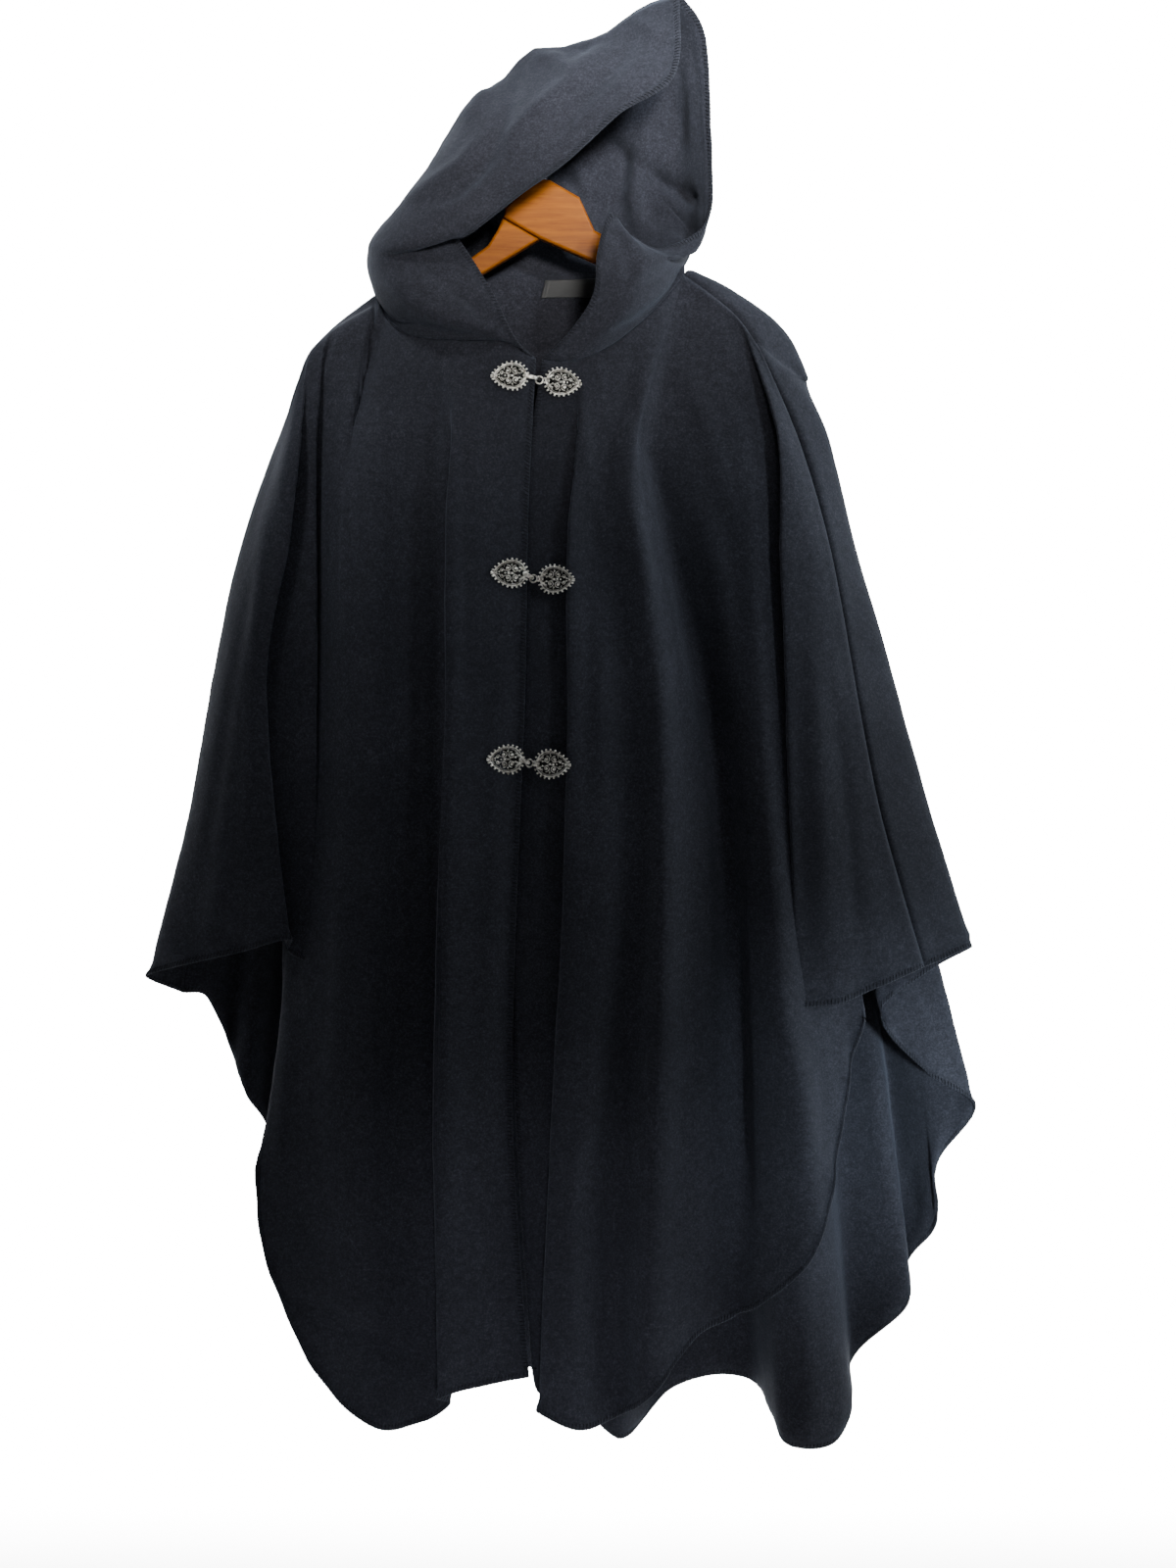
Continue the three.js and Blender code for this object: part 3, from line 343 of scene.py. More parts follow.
front_right = panel(
    FRONT_RIGHT_LINES,
    lambda i: choose(i, [(0, ring_right_front), (NECK_FRONT, top_right)]),
    lambda i: choose(i, [(0, nothing), (NECK_FRONT, over_right)]), columns(HALF), 362)
front_right[:, -1] = seam_down_right
back = panel(
    BACK_LINES,
    lambda i: choose(i, [(0, lambda j: top_right(SHOULDER - j)), (SHOULDER, ring_right_back),
                         (NAPE, ring_left_back), (NAPE + NECK_BACK, top_left)]),
    lambda i: choose(i, [(0, nothing), (NAPE + NECK_BACK, over_left)]),
    columns(2 * NAPE), 342, under=True)
back[:, 0], back[:, -1] = seam_down_right, seam_down_left
front_left = panel(
    FRONT_LEFT_LINES,
    lambda i: choose(i, [(0, lambda j: top_left(SHOULDER - j)), (SHOULDER, ring_left_front)]),
    nothing, columns(HALF))
front_left[:, 0] = seam_down_left
front_right, back, front_left = refine(front_right), refine(back), refine(front_left)

# How far stations slip down to feed the turned lip
SLIP = np.array([0, 0.4, 1, 1.6, 2.1, 2.5, 2.6, 1.4, 0.2])
HOOD_FINE = np.concatenate([np.linspace(0, 0.72, 84), np.linspace(0.72, 1, 37)[1:]])


def hood_half(lines, ring):
    """Net (rows, columns, 3): each line rises from the ring through nine stations to the crown seam,
    and the columns between are cubics round the hood at each station."""
    n = NECK_FRONT + NECK_BACK
    where = columns(n)
    places = np.array([line[0] for line in lines] + [1.0]) * n
    start = ring(where)
    crown = at(CROWN[::-1])
    reach = spread(crown, 1)
    ups = []
    for place, slip, table in lines + [(1, 0, BACK_SEAM)]:
        points = np.concatenate([ring(np.array([place * n])), at(table)])
        ups.append(cubic(points, np.arange(10), np.arange(1, 10) - slip * SLIP))
    levels = [start]
    for p in np.stack(ups, 1):
        t = spread(p, 0.5)
        levels.append(cubic(p, t, np.interp(where, places, t)))
    levels.append(cubic(crown, reach, reach[-1] * (where / n) ** 0.7))
    return cubic(np.stack(levels), np.arange(11) / 10, HOOD_FINE)


hood_right = hood_half(HOOD_RIGHT_LINES, lambda i: choose(i, [
    (0, ring_right_front), (NECK_FRONT, ring_right_back)]))
hood_left = hood_half(HOOD_LEFT_LINES, lambda i: choose(i, [
    (0, lambda j: ring_left_front(NECK_FRONT - j)), (NECK_FRONT, lambda j: ring_left_back(NECK_BACK - j))]))
hood_left[:, -1] = hood_right[:, -1]

# Where the hood's outline dips and swells between its ridges: u or v along it, the outline there, and the
# shift inwards, all in steps. The shift fades over FADE steps from the outline.
TOP_EDGE = [
    (400, 205, 0), (430, 165, 5), (455, 131, 5), (470, 115, 2), (485, 100, -1), (500, 86, 4), (515, 75, 6),
    (530, 64, -3), (545, 55, -5), (560, 46, 3), (575, 39, 10), (605, 27, 13), (620, 22, 12), (635, 16, 6),
    (650, 10, 1), (665, 4, -1), (680, 0, 0),
]
LEFT_EDGE = [
    (90, 500, 0), (110, 478, 0), (130, 458, 4), (170, 427, 7), (190, 414, 7), (210, 399, 9), (230, 386, 4),
    (250, 377, 0),
]
RIGHT_EDGE = [
    (40, 720, 0), (90, 726, 4), (130, 729, 6), (170, 729, 4), (190, 727, 1), (210, 722, -3), (235, 714, -6),
    (262, 702, -4), (280, 698, 0),
]
FADE = 55


def outline_fitted(net):
    """The net with its outline's dips and swells: shifts read from the tables, faded inwards."""
    u, v = seen(net)
    fade = lambda d: np.clip(1 - np.abs(d) / FADE, 0, 1) ** 2
    top, left, right = (np.array(t, float).T for t in (TOP_EDGE, LEFT_EDGE, RIGHT_EDGE))
    down = np.interp(u, top[0], top[2], 0, 0) * fade(v - np.interp(u, top[0], top[1]))
    inward = np.interp(v, left[0], left[2], 0, 0) * fade(u - np.interp(v, left[0], left[1]))
    inward -= np.interp(v, right[0], right[2], 0, 0) * fade(u - np.interp(v, right[0], right[1]))
    rise = np.clip(np.linspace(0, 5, len(net)), 0, 1)[:, None, None]  # the neck seam stays
    return net + rise * UNIT * np.stack([inward, 0 * down, -down], -1)


hood_right, hood_left = outline_fitted(hood_right), outline_fitted(hood_left)

# Creases, as seen from the front: points u, v along the crease, its half width in steps and
# its height in mm, minus for a hollow. The list of the back is its inside, where it shows below the sleeves.
CREASES = {
    "front_right": [
        ([(470, 380), (474, 520), (476, 760)], 7, -1.6),
        ([(512, 520), (508, 760), (500, 1000), (492, 1240)], 12, 1.6),
        ([(540, 640), (500, 690), (462, 700)], 9, -1.2),
        ([(538, 880), (498, 860), (452, 900)], 10, 1.1),
        ([(404, 420), (402, 700), (396, 1000), (402, 1300)], 13, -2.6),
        ([(352, 430), (356, 700), (346, 1000), (330, 1240)], 12, 2.2),
        ([(330, 372), (352, 400), (372, 460)], 9, 1.6),
        ([(345, 352), (392, 380), (430, 440)], 10, -1.5),
        ([(400, 352), (412, 400), (416, 470)], 7, 1.7),
        ([(450, 366), (446, 420), (440, 500)], 6, -1.5),
        ([(283, 1314), (334, 1337), (372, 1364), (411, 1378), (442, 1380)], 9, -2.4),
        ([(300, 1000), (292, 1100), (280, 1200)], 8, 2.0),
        ([(262, 560), (240, 680), (222, 800), (205, 920)], 8, -2.2),
        ([(276, 500), (262, 640), (256, 780), (250, 900)], 8, 2.0),
        ([(292, 470), (284, 600)], 7, 1.2),
        ([(230, 880), (215, 950)], 9, 1.8),
        ([(306, 560), (304, 760), (308, 930)], 6, 1.2),
        ([(446, 420), (446, 700), (444, 1000), (440, 1400)], 7, -3.2),
        ([(283, 1314), (330, 1352), (392, 1372), (442, 1380)], 5, -1.6),
    ],
    "front_left": [
        ([(612, 420), (604, 560), (600, 700), (598, 860)], 10, -2.0),
        ([(629, 459), (655, 560), (667, 640)], 9, 2.0),
        ([(664, 470), (693, 597), (718, 700), (736, 800), (747, 960), (756, 1130), (771, 1337)], 12, -5.5),
        ([(700, 470), (736, 600), (766, 760), (778, 900)], 14, 2.6),
        ([(590, 400), (600, 470), (620, 560)], 8, 1.8),
        ([(640, 390), (656, 450), (690, 540)], 9, -1.9),
        ([(690, 360), (720, 430), (752, 540)], 11, 1.7),
        ([(730, 350), (762, 430), (782, 520)], 9, -1.4),
        ([(644, 1035), (634, 1120), (626, 1209), (619, 1356)], 11, -2.4),
        ([(617, 1093), (600, 1140), (586, 1190), (582, 1248), (584, 1400)], 10, 2.2),
        ([(697, 900), (700, 1060), (694, 1200), (690, 1320)], 14, -1.8),
        ([(784, 960), (798, 1048), (818, 1100), (826, 1201)], 11, 2.6),
        ([(829, 1259), (798, 1293), (774, 1320)], 8, 2.4),
        ([(850, 700), (862, 800), (872, 920), (880, 990)], 9, -1.6),
        ([(826, 620), (834, 760), (842, 900), (846, 1000)], 10, 1.8),
        ([(812, 700), (818, 860), (826, 1000)], 7, -1.2),
    ],
    "back": [
        ([(891, 1065), (893, 1116), (900, 1184), (910, 1252)], 10, 2.4),
        ([(930, 1020), (946, 1060), (968, 1100)], 9, -1.6),
        ([(925, 1180), (934, 1230), (940, 1270)], 8, -2.0),
        ([(226, 1030), (238, 1080), (258, 1130)], 7, 1.6),
        ([(806, 1360), (810, 1440)], 9, -2.0),
    ],
    "hood_right": [
        ([(407, 216), (438, 190), (474, 165), (494, 134)], 7, 3.6),
        ([(430, 214), (470, 196), (506, 158), (524, 128)], 7, -3.2),
        ([(497, 168), (522, 137), (547, 112), (578, 87), (612, 45), (622, 32)], 8, 4.2),
        ([(540, 172), (560, 140), (596, 104), (640, 56), (652, 24)], 9, -3.4),
        ([(550, 168), (560, 120), (572, 112)], 5, 2.0),
        ([(450, 206), (486, 178), (510, 140), (528, 84), (536, 60)], 8, -3.4),
        ([(470, 128), (484, 112), (500, 88)], 8, 3.5),
        ([(540, 50), (566, 60), (584, 80)], 9, 5.0),
        ([(590, 58), (606, 44), (620, 36)], 8, -3.0),
        ([(644, 18), (664, 30), (682, 40)], 8, 4.0),
        ([(610, 130), (650, 90), (684, 62)], 7, 2.2),
        ([(388, 270), (410, 300), (450, 324), (500, 336)], 8, 2.2),
        ([(400, 318), (440, 336), (500, 344)], 5, -1.8),
        ([(420, 262), (446, 282), (480, 310), (510, 346)], 8, -2.6),
        ([(470, 262), (492, 300), (512, 330)], 6, 1.8),
    ],
    "hood_left": [
        ([(668, 118), (659, 146), (651, 174), (648, 196), (651, 224), (665, 244)], 9, 9.0),
        ([(609, 137), (626, 148), (637, 165), (640, 200)], 9, -7.0),
        ([(586, 165), (603, 210)], 6, 3.4),
        ([(662, 174), (676, 188), (715, 207)], 8, -8.0),
        ([(684, 90), (694, 130), (690, 170)], 9, -4.0),
        ([(700, 50), (708, 110), (706, 160)], 6, 2.6),
        ([(628, 336), (660, 312), (690, 282)], 6, 2.6),
        ([(600, 330), (640, 306), (680, 276), (706, 246)], 6, -2.2),
        ([(624, 232), (640, 262), (650, 300)], 8, 2.6),
        ([(612, 300), (618, 262), (622, 236)], 5, -1.4),
    ],
}
# Similar creases on the sides that the front doesn't show, u and v of the same view.
BACK_CREASES = {
    "back": [
        ([(360, 400), (350, 700), (330, 1000)], 12, 2.4),
        ([(430, 380), (424, 600), (430, 900), (440, 1200)], 13, -2.6),
        ([(480, 400), (490, 700), (500, 1000)], 12, 2.2),
        ([(560, 330), (552, 420), (548, 560), (552, 760)], 12, -2.0),
        ([(610, 340), (640, 560), (668, 860), (684, 1180)], 13, 2.6),
        ([(660, 330), (712, 520), (764, 800), (800, 1080)], 12, -2.6),
        ([(720, 330), (776, 520), (838, 800), (880, 1080)], 11, 2.2),
        ([(300, 560), (270, 760), (248, 940)], 9, 2.0),
        ([(330, 480), (306, 700), (290, 900)], 9, -2.0),
        ([(420, 320), (440, 350), (500, 366), (600, 360), (660, 330)], 10, 1.8),
        ([(380, 350), (450, 420), (540, 450), (640, 420), (720, 350)], 14, -1.6),
        ([(700, 1240), (712, 1330)], 10, 2.0),
        ([(470, 1240), (476, 1340)], 9, 1.8),
    ],
    "hood_left": [
        ([(470, 150), (520, 190), (560, 240)], 9, -3.4),
        ([(500, 120), (560, 160), (620, 230)], 10, 3.0),
        ([(560, 90), (620, 140), (660, 220)], 9, -2.6),
    ],
    "hood_right": [
        ([(440, 190), (470, 240), (520, 262)], 8, 2.2),
        ([(400, 240), (430, 262), (470, 280)], 7, -1.8),
    ],
}


def near_line(u, v, points):
    """Distance in steps from (u, v) to a line of points, and the share of its length at the nearest place."""
    points = np.array(points, float)
    best, share = np.full(u.shape, 1e9), np.zeros(u.shape)
    seg = np.diff(points, axis=0)
    length = np.hypot(*seg.T)
    total, gone = length.sum(), 0.0
    for (pu, pv), (du, dv), size in zip(points[:-1], seg, length):
        t = np.clip(((u - pu) * du + (v - pv) * dv) / size**2, 0, 1)
        d = np.hypot(u - pu - t * du, v - pv - t * dv)
        closer = d < best
        best, share = np.where(closer, d, best), np.where(closer, (gone + t * size) / total, share)
        gone += size
    return best, share


def raised(u, v, creases):
    """Sum of soft ridges: height times a bell of the distance, fading in and out along the crease."""
    out = np.zeros(u.shape)
    for points, width, height in creases:
        d, s = near_line(u, v, points)
        fade = np.clip(np.minimum(s, 1 - s) * 4, 0, 1)
        fade = fade * fade * (3 - 2 * fade) * 0.85 + 0.15
        out += height * np.exp(-((d / width) ** 2)) * fade
    return out


def soft_noise(p, size, seed):
    """Smooth waves in three directions about size mm long, from -1 to 1: a sum of sines with turned axes."""
    rng = np.random.default_rng(seed)
    out = np.zeros(p.shape[:-1])
    for _ in range(7):
        axis = rng.normal(size=3)
        axis /= np.linalg.norm(axis)
        k = 2 * np.pi / (size * rng.uniform(0.7, 1.5))
        out += np.sin(p @ (axis * k) + rng.uniform(0, 6.3) + 1.3 * np.sin(p @ (axis[::-1] * k * 0.5)))
    return out / 7


def grid_normals(net):
    """Area-weighted normal at each place of a net, from its quads."""
    a, b, c, d = net[:-1, :-1], net[:-1, 1:], net[1:, 1:], net[1:, :-1]
    n = np.cross(c - a, d - b)
    out = np.zeros(net.shape)
    for rows, cols in ((slice(None, -1), slice(None, -1)), (slice(None, -1), slice(1, None)),
                       (slice(1, None), slice(1, None)), (slice(1, None), slice(None, -1))):
        out[rows, cols] += n
    return out


def smooth_step(x):
    x = np.clip(x, 0, 1)
    return x * x * (3 - 2 * x)


# A net's edges: each edge's own places, and the row or column next to it.
EDGES = {
    "top": (np.s_[0, :], np.s_[1, :]),
    "bottom": (np.s_[-1, :], np.s_[-2, :]),
    "start": (np.s_[:, 0], np.s_[:, 1]),
    "end": (np.s_[:, -1], np.s_[:, -2]),
}
# Each cloth: its net, +1 where the net's own normal points outwards, and its sewn edges, top first.
CLOTHS = {
    "front_right": [front_right, 1, ("top", "end")],
    "back": [back, 1, ("top", "start", "end")],
    "front_left": [front_left, 1, ("top", "start")],
    "hood_right": [hood_right, -1, ("top", "end", "bottom")],
    "hood_left": [hood_left, 1, ("top", "end", "bottom")],
}


def free_edges(seams):
    return [edge for edge in EDGES if edge not in seams]


def from_edge(net, edges):
    """Distance in mm of each place from the nearest of the named edges, measured along rows and columns."""
    best = np.full(net.shape[:2], 1e3)
    down, over = run_along(net, 0), run_along(net, 1)
    for edge in edges:
        far = {"top": down, "bottom": down[-1:] - down, "start": over, "end": over[:, -1:] - over}[edge]
        best = np.minimum(best, far)
    return best


def bell(x, width):
    return np.exp(-((x / width) ** 2))


CALM = 22  # mm from a seam over which creases and waves grow from nothing
STITCH_IN = 7  # mm from a free edge to its line of stitches
WELT_IN = 5  # mm from a seam to the crest of the turned allowance beside it


def shaped(name):
    """The net with its creases, small waves and seam welts, moved along its own normals."""
    net, out, seams = CLOTHS[name]
    n = unit(grid_normals(net) * out)
    u, v = seen(net)
    shift = raised(u, v, CREASES[name])
    # a ridge toward the viewer is outwards on the fronts, inwards on the back and the hood's far half
    facing = np.sign(-n[..., 1]) * smooth_step(np.abs(n[..., 1]) * 2)
    shift = shift * (-1 if name in ("back", "hood_left") else facing)
    if name == "hood_left":
        lip = v > 236 + 0.9 * np.abs(u - 700)
        shift = np.where(lip & (net[..., 1] < 0), -shift * 0.5, shift)
    if name in BACK_CREASES:
        shift = shift + raised(u, v, BACK_CREASES[name]) * smooth_step(n[..., 1] * 2)
    near = from_edge(net, seams)
    calm = smooth_step(near / CALM)
    shift = (shift + 0.7 * soft_noise(net, 90, 5) + 0.35 * soft_noise(net, 34, 8)) * calm
    if name.startswith("hood"):
        shift += 1.2 * smooth_step(1 - from_edge(net, ("start",)) / 12) * calm
    else:
        # hems: the last 25 mm wave along the edge, and the last 14 mm curl outwards
        low, run = from_edge(net, ("bottom",)), run_along(net, 1)
        shift += bell(low, 22) * (1.3 * np.sin(run / 13.5) + 0.9 * np.sin(run / 7.1 + 2)) * calm
        shift += 2.2 * smooth_step(1 - low / 14) ** 2 * calm
    shift -= 0.55 * bell(from_edge(net, free_edges(seams)) - STITCH_IN, 1.8) * calm
    # a welt: the turned allowance lifts the cloth beside the seam, and the seam itself lies in a dip
    shift += 0.55 * bell(near - WELT_IN, 3.6) - 0.25 * bell(near, 1.4)
    return net + n * shift[..., None]


for cloth_name in CLOTHS:
    CLOTHS[cloth_name].append(shaped(cloth_name))


def shared_normals():
    """One normal for every place where nets meet, summed over the nets, so that walls meet squarely."""
    spots, sums = [], []
    for net, out, _, form in CLOTHS.values():
        spots.append(np.round(net.reshape(-1, 3) * 20).astype(np.int64))
        sums.append((grid_normals(form) * out).reshape(-1, 3))
    spots, sums = np.concatenate(spots), np.concatenate(sums)
    _, back_to = np.unique(spots, axis=0, return_inverse=True)
    back_to = back_to.reshape(-1)
    total = np.zeros((back_to.max() + 1, 3))
    np.add.at(total, back_to, sums)
    total = unit(total)
    out, start = {}, 0
    for name, (net, *_) in CLOTHS.items():
        size = net.shape[0] * net.shape[1]
        out[name] = total[back_to[start:start + size]].reshape(net.shape)
        start += size
    return out


NORMALS = shared_normals()


def welded(name):
    """Seam places sit half a mm inside the unshaped net along the shared normals, alike for every net that
    meets there, then run on by half the lap.
    """
    net, _, seams, form = CLOTHS[name]
    points = form.copy()
    lap = np.zeros(net.shape)
    for edge in seams:
        here, inner = EDGES[edge]
        points[here] = net[here] - 0.5 * NORMALS[name][here]
        lap[here] -= unit(net[inner] - net[here]) * LAP / 2
    return points + lap


def grid_quads(idx):
    """Quads between the rows and columns of a grid of point numbers."""
    return np.stack([idx[:-1, :-1], idx[:-1, 1:], idx[1:, 1:], idx[1:, :-1]], -1).reshape(-1, 4)


def rim_loop(idx):
    """The grid's outermost point numbers, once round."""
    return np.concatenate([idx[0, :-1], idx[:-1, -1], idx[-1, :0:-1], idx[:0:-1, 0]])


def tube_faces(rings, sides, closed=False, inside_out=False):
    """Faces of a tube of rings. An open tube has a fan at each end, to the two points after its rings."""
    idx = np.arange(rings * sides).reshape(rings, sides)
    after = np.roll(idx, -1, 1)
    quads = np.stack([idx, after, np.roll(after, -1, 0), np.roll(idx, -1, 0)], -1)
    if closed:
        faces = quads.reshape(-1, 4)
    else:
        first, last = np.full(sides, idx.size), np.full(sides, idx.size + 1)
        faces = np.concatenate([quads[:-1].reshape(-1, 4), np.stack([after[0], idx[0], first, first], -1),
                                np.stack([idx[-1], after[-1], last, last], -1)])
    return faces[:, [1, 0, 3, 2]] if inside_out else faces


def mesh_piece(name, points, faces, uv=None):
    """A smooth mesh object at the origin from points in mm and faces of four point numbers, the last two
    alike in a triangle; uv holds one pair for each point."""
    mesh = bpy.data.meshes.new(name)
    sides = np.where(faces[:, 2] == faces[:, 3], 3, 4)
    corners = faces[np.arange(4) < sides[:, None]]
    mesh.vertices.add(len(points))
    mesh.vertices.foreach_set("co", (points / 1000).astype(np.float32).ravel())
    mesh.loops.add(len(corners))
    mesh.loops.foreach_set("vertex_index", corners.astype(np.int32))
    mesh.polygons.add(len(faces))
    mesh.polygons.foreach_set("loop_start", (np.cumsum(sides) - sides).astype(np.int32))
    mesh.polygons.foreach_set("loop_total", sides.astype(np.int32))
    mesh.polygons.foreach_set("use_smooth", np.ones(len(faces), bool))
    mesh.update(calc_edges=True)
    if uv is not None:
        mesh.uv_layers.new(name="cloth_metres").data.foreach_set("uv", uv[corners].astype(np.float32).ravel())
    mesh.validate()
    piece = bpy.data.objects.new(name, mesh)
    bpy.context.scene.collection.objects.link(piece)
    return piece


def gathered(parts):
    """Points and quads of many parts as one list."""
    offsets = np.cumsum([0] + [len(p) for p, _ in parts[:-1]])
    return np.concatenate([p for p, _ in parts]), np.concatenate([q + o for (_, q), o in zip(parts, offsets)])


def overlock(edge, normal, outwards, step=3.3, reach=4.6):
    """Thread loops over an edge: every few mm a four-sided thread runs slanting from reach inside on the
    outer face, round the rim and back to reach inside on the inner face, and dives in at both ends."""
    run = np.concatenate([[0], np.cumsum(np.linalg.norm(np.diff(edge, axis=0), axis=1))])
    count = int(run[-1] / step)
    where = (np.arange(count) + 0.5) * run[-1] / count
    read = lambda a: np.stack([np.interp(where, run, a[:, k]) for k in range(3)], -1)
    place, n, out = read(edge), unit(read(normal)), read(outwards)
    tangent = unit(np.gradient(place, axis=0))
    out = unit(out - n * (out * n).sum(1, keepdims=True))
    half, proud = WALL / 2, 0.16
    # one loop: mm outwards, mm along the normal, and share of the slant
    loop = np.array([
        (-reach, half - 0.2, -1), (-reach * 0.55, half + proud, -0.6), (-0.3, half * 0.86 + proud, -0.2),
        (0.95, 0, 0), (-0.3, -half * 0.86 - proud, 0.2), (-reach * 0.55, -half - proud, 0.6),
        (-reach, -half + 0.2, 1)])
    across = unit(np.gradient(loop[:, :2], axis=0))
    loop, out, n, tangent = loop[None, :, :, None], out[:, None], n[:, None], tangent[:, None]
    middle = place[:, None] + loop[:, :, 0] * out + loop[:, :, 1] * n + step * 0.32 * loop[:, :, 2] * tangent
    up = across[None, :, 1:] * out - across[None, :, :1] * n
    side = np.broadcast_to(tangent, up.shape)
    corners = np.stack([middle + 0.5 * side, middle + 0.34 * up, middle - 0.5 * side, middle - 0.34 * up], 2)
    idx = np.arange(count * 28).reshape(count, 7, 4)
    nxt = np.roll(idx, -1, 2)
    quads = np.stack([idx[:, :-1], nxt[:, :-1], nxt[:, 1:], idx[:, 1:]], -1).reshape(-1, 4)
    return corners.reshape(-1, 3), np.concatenate([quads, idx[:, 0, ::-1], idx[:, -1]])


def cloth_wall(name):
    """The cloth's closed wall and its edge thread. The wall is half its thickness to each side of the
    welded net along the shared normals, with a rim along one middle line."""
    net, out, seams, _ = CLOTHS[name]
    mid, n = welded(name), NORMALS[name]
    free = free_edges(seams)
    half = WALL / 2 * (0.86 + 0.14 * smooth_step(from_edge(net, free) / 7))[..., None]
    idx = np.arange(net.shape[0] * net.shape[1]).reshape(net.shape[:2])
    quads, loop = grid_quads(idx), rim_loop(idx)
    inward, bulge = np.zeros(mid.shape), np.zeros((*net.shape[:2], 1))
    for edge, (here, inner) in EDGES.items():
        inward[here] += mid[inner] - mid[here]
        if edge in free:
            bulge[here] = 0.8
    inward = unit(inward)
    rim = (mid - inward * bulge).reshape(-1, 3)[loop]
    a, b = loop, np.roll(loop, -1)
    ra = 2 * idx.size + np.arange(len(loop))
    rb = np.roll(ra, -1)
    faces = [quads, quads[:, ::-1] + idx.size, np.stack([a, ra, rb, b], -1),
             np.stack([ra, a + idx.size, b + idx.size, rb], -1)]
    if out < 0:
        faces = [f[:, ::-1] for f in faces]
    uv = np.stack([run_along(net, 1), run_along(net, 0)], -1).reshape(-1, 2) / 1000
    points = np.concatenate([(mid + n * half).reshape(-1, 3), (mid - n * half).reshape(-1, 3), rim])
    piece = mesh_piece("cloth_" + name, points, np.concatenate(faces), np.concatenate([uv, uv, uv[loop]]))
    stitches = [overlock(mid[EDGES[e][0]], n[EDGES[e][0]], -inward[EDGES[e][0]]) for e in free if e != "top"]
    thread = mesh_piece("overlock_" + name, *gathered(stitches)) if stitches else None
    return piece, thread


def material(name, **values):
    """A new material: it, its node tree, its shader with the given inputs, and its object coordinates."""
    mat = bpy.data.materials.new(name)
    mat.use_nodes = True
    tree = mat.node_tree
    shader = tree.nodes["Principled BSDF"]
    for key, value in values.items():
        shader.inputs[key.replace("_", " ")].default_value = value
    return mat, tree, shader, tree.nodes.new("ShaderNodeTexCoord").outputs["Object"]


def fill(tree, sockets, values):
    """Link each value that is a node's output to its socket, and set the others."""
    for socket, value in zip(sockets, values):
        if isinstance(value, bpy.types.NodeSocket):
            tree.links.new(value, socket)
        else:
            socket.default_value = value


def joined(tree, node, **values):
    """Fill a node's inputs by name, with _ for a blank."""
    fill(tree, [node.inputs[key.replace("_", " ")] for key in values], values.values())
    return node


def ramp(tree, source, stops):
    """Colours at places along source; a single number is a grey."""
    node = tree.nodes.new("ShaderNodeValToRGB")
    for element, (place, colour) in zip(node.color_ramp.elements, stops[:2]):
        element.position = place
        element.color = (*np.broadcast_to(colour, 3), 1)
    for place, colour in stops[2:]:
        node.color_ramp.elements.new(place).color = (*np.broadcast_to(colour, 3), 1)
    tree.links.new(source, node.inputs[0])
    return node.outputs[0]


def mixed(tree, factor, a, b, kind="MIX"):
    node = tree.nodes.new("ShaderNodeMix")
    node.data_type, node.blend_type = "RGBA", kind
    fill(tree, (node.inputs[0], node.inputs[6], node.inputs[7]), (factor, a, b))
    return node.outputs[2]


def times(tree, a, b):
    return mixed(tree, 1.0, a, b, "MULTIPLY")


def noise(tree, vector, scale, detail=3.0, rough=0.5, distortion=0.0):
    return joined(tree, tree.nodes.new("ShaderNodeTexNoise"), Vector=vector, Scale=scale, Detail=detail,
                  Roughness=rough, Distortion=distortion).outputs["Fac"]


def bumps(tree, height, strength, distance, **under):
    return joined(tree, tree.nodes.new("ShaderNodeBump"), Height=height, Strength=strength, Distance=distance,
                  **under).outputs["Normal"]


def stretched(tree, vector, scale, turn=0.0):
    return joined(tree, tree.nodes.new("ShaderNodeMapping"), Vector=vector, Scale=scale,
                  Rotation=(0, 0, turn)).outputs["Vector"]


def wool_material():
    """Thick felted wool: a nearly black navy ground under a fine grey nap. Fibre tufts are long thin noise
    in two slanting directions, broken by felt clumps and slow clouds of wear; the sheen is the nap."""
    mat, tree, shader, place = material(
        "wool_nap", Roughness=0.92, Specular_IOR_Level=0.18, Sheen_Weight=0.07, Sheen_Roughness=0.6,
        Sheen_Tint=(0.52, 0.6, 0.78, 1))
    uv = tree.nodes.new("ShaderNodeUVMap")
    uv.uv_map = "cloth_metres"
    fine = noise(tree, place, 520.0, 5.0, 0.75)
    fibre_a = noise(tree, stretched(tree, uv.outputs[0], (2600, 320, 1), 0.5), 1.0, 2.0, 0.6, 0.6)
    fibre_b = noise(tree, stretched(tree, uv.outputs[0], (300, 2300, 1), 0.4), 1.0, 2.0, 0.6, 0.6)
    clump = noise(tree, place, 150.0, 4.0, 0.62)
    cloud = noise(tree, place, 9.0, 4.0, 0.55)
    nap = mixed(tree, 0.6, mixed(tree, 0.5, fibre_a, fibre_b), fine)
    base = ramp(tree, nap, [(0.3, (0.0022, 0.0024, 0.0036)), (0.5, (0.0101, 0.0104, 0.0146)),
                            (0.72, (0.033, 0.0345, 0.045))])
    worn = ramp(tree, cloud, [(0.35, (0.82, 0.82, 0.83)), (0.65, (1.18, 1.17, 1.15))])
    felt = ramp(tree, clump, [(0.3, 0.78), (0.7, 1.22)])
    soft = bumps(tree, clump, 0.35, 0.0012)
    joined(tree, shader, Base_Color=times(tree, times(tree, base, worn), felt),
           Normal=bumps(tree, nap, 0.55, 0.0005, Normal=soft))
    return mat


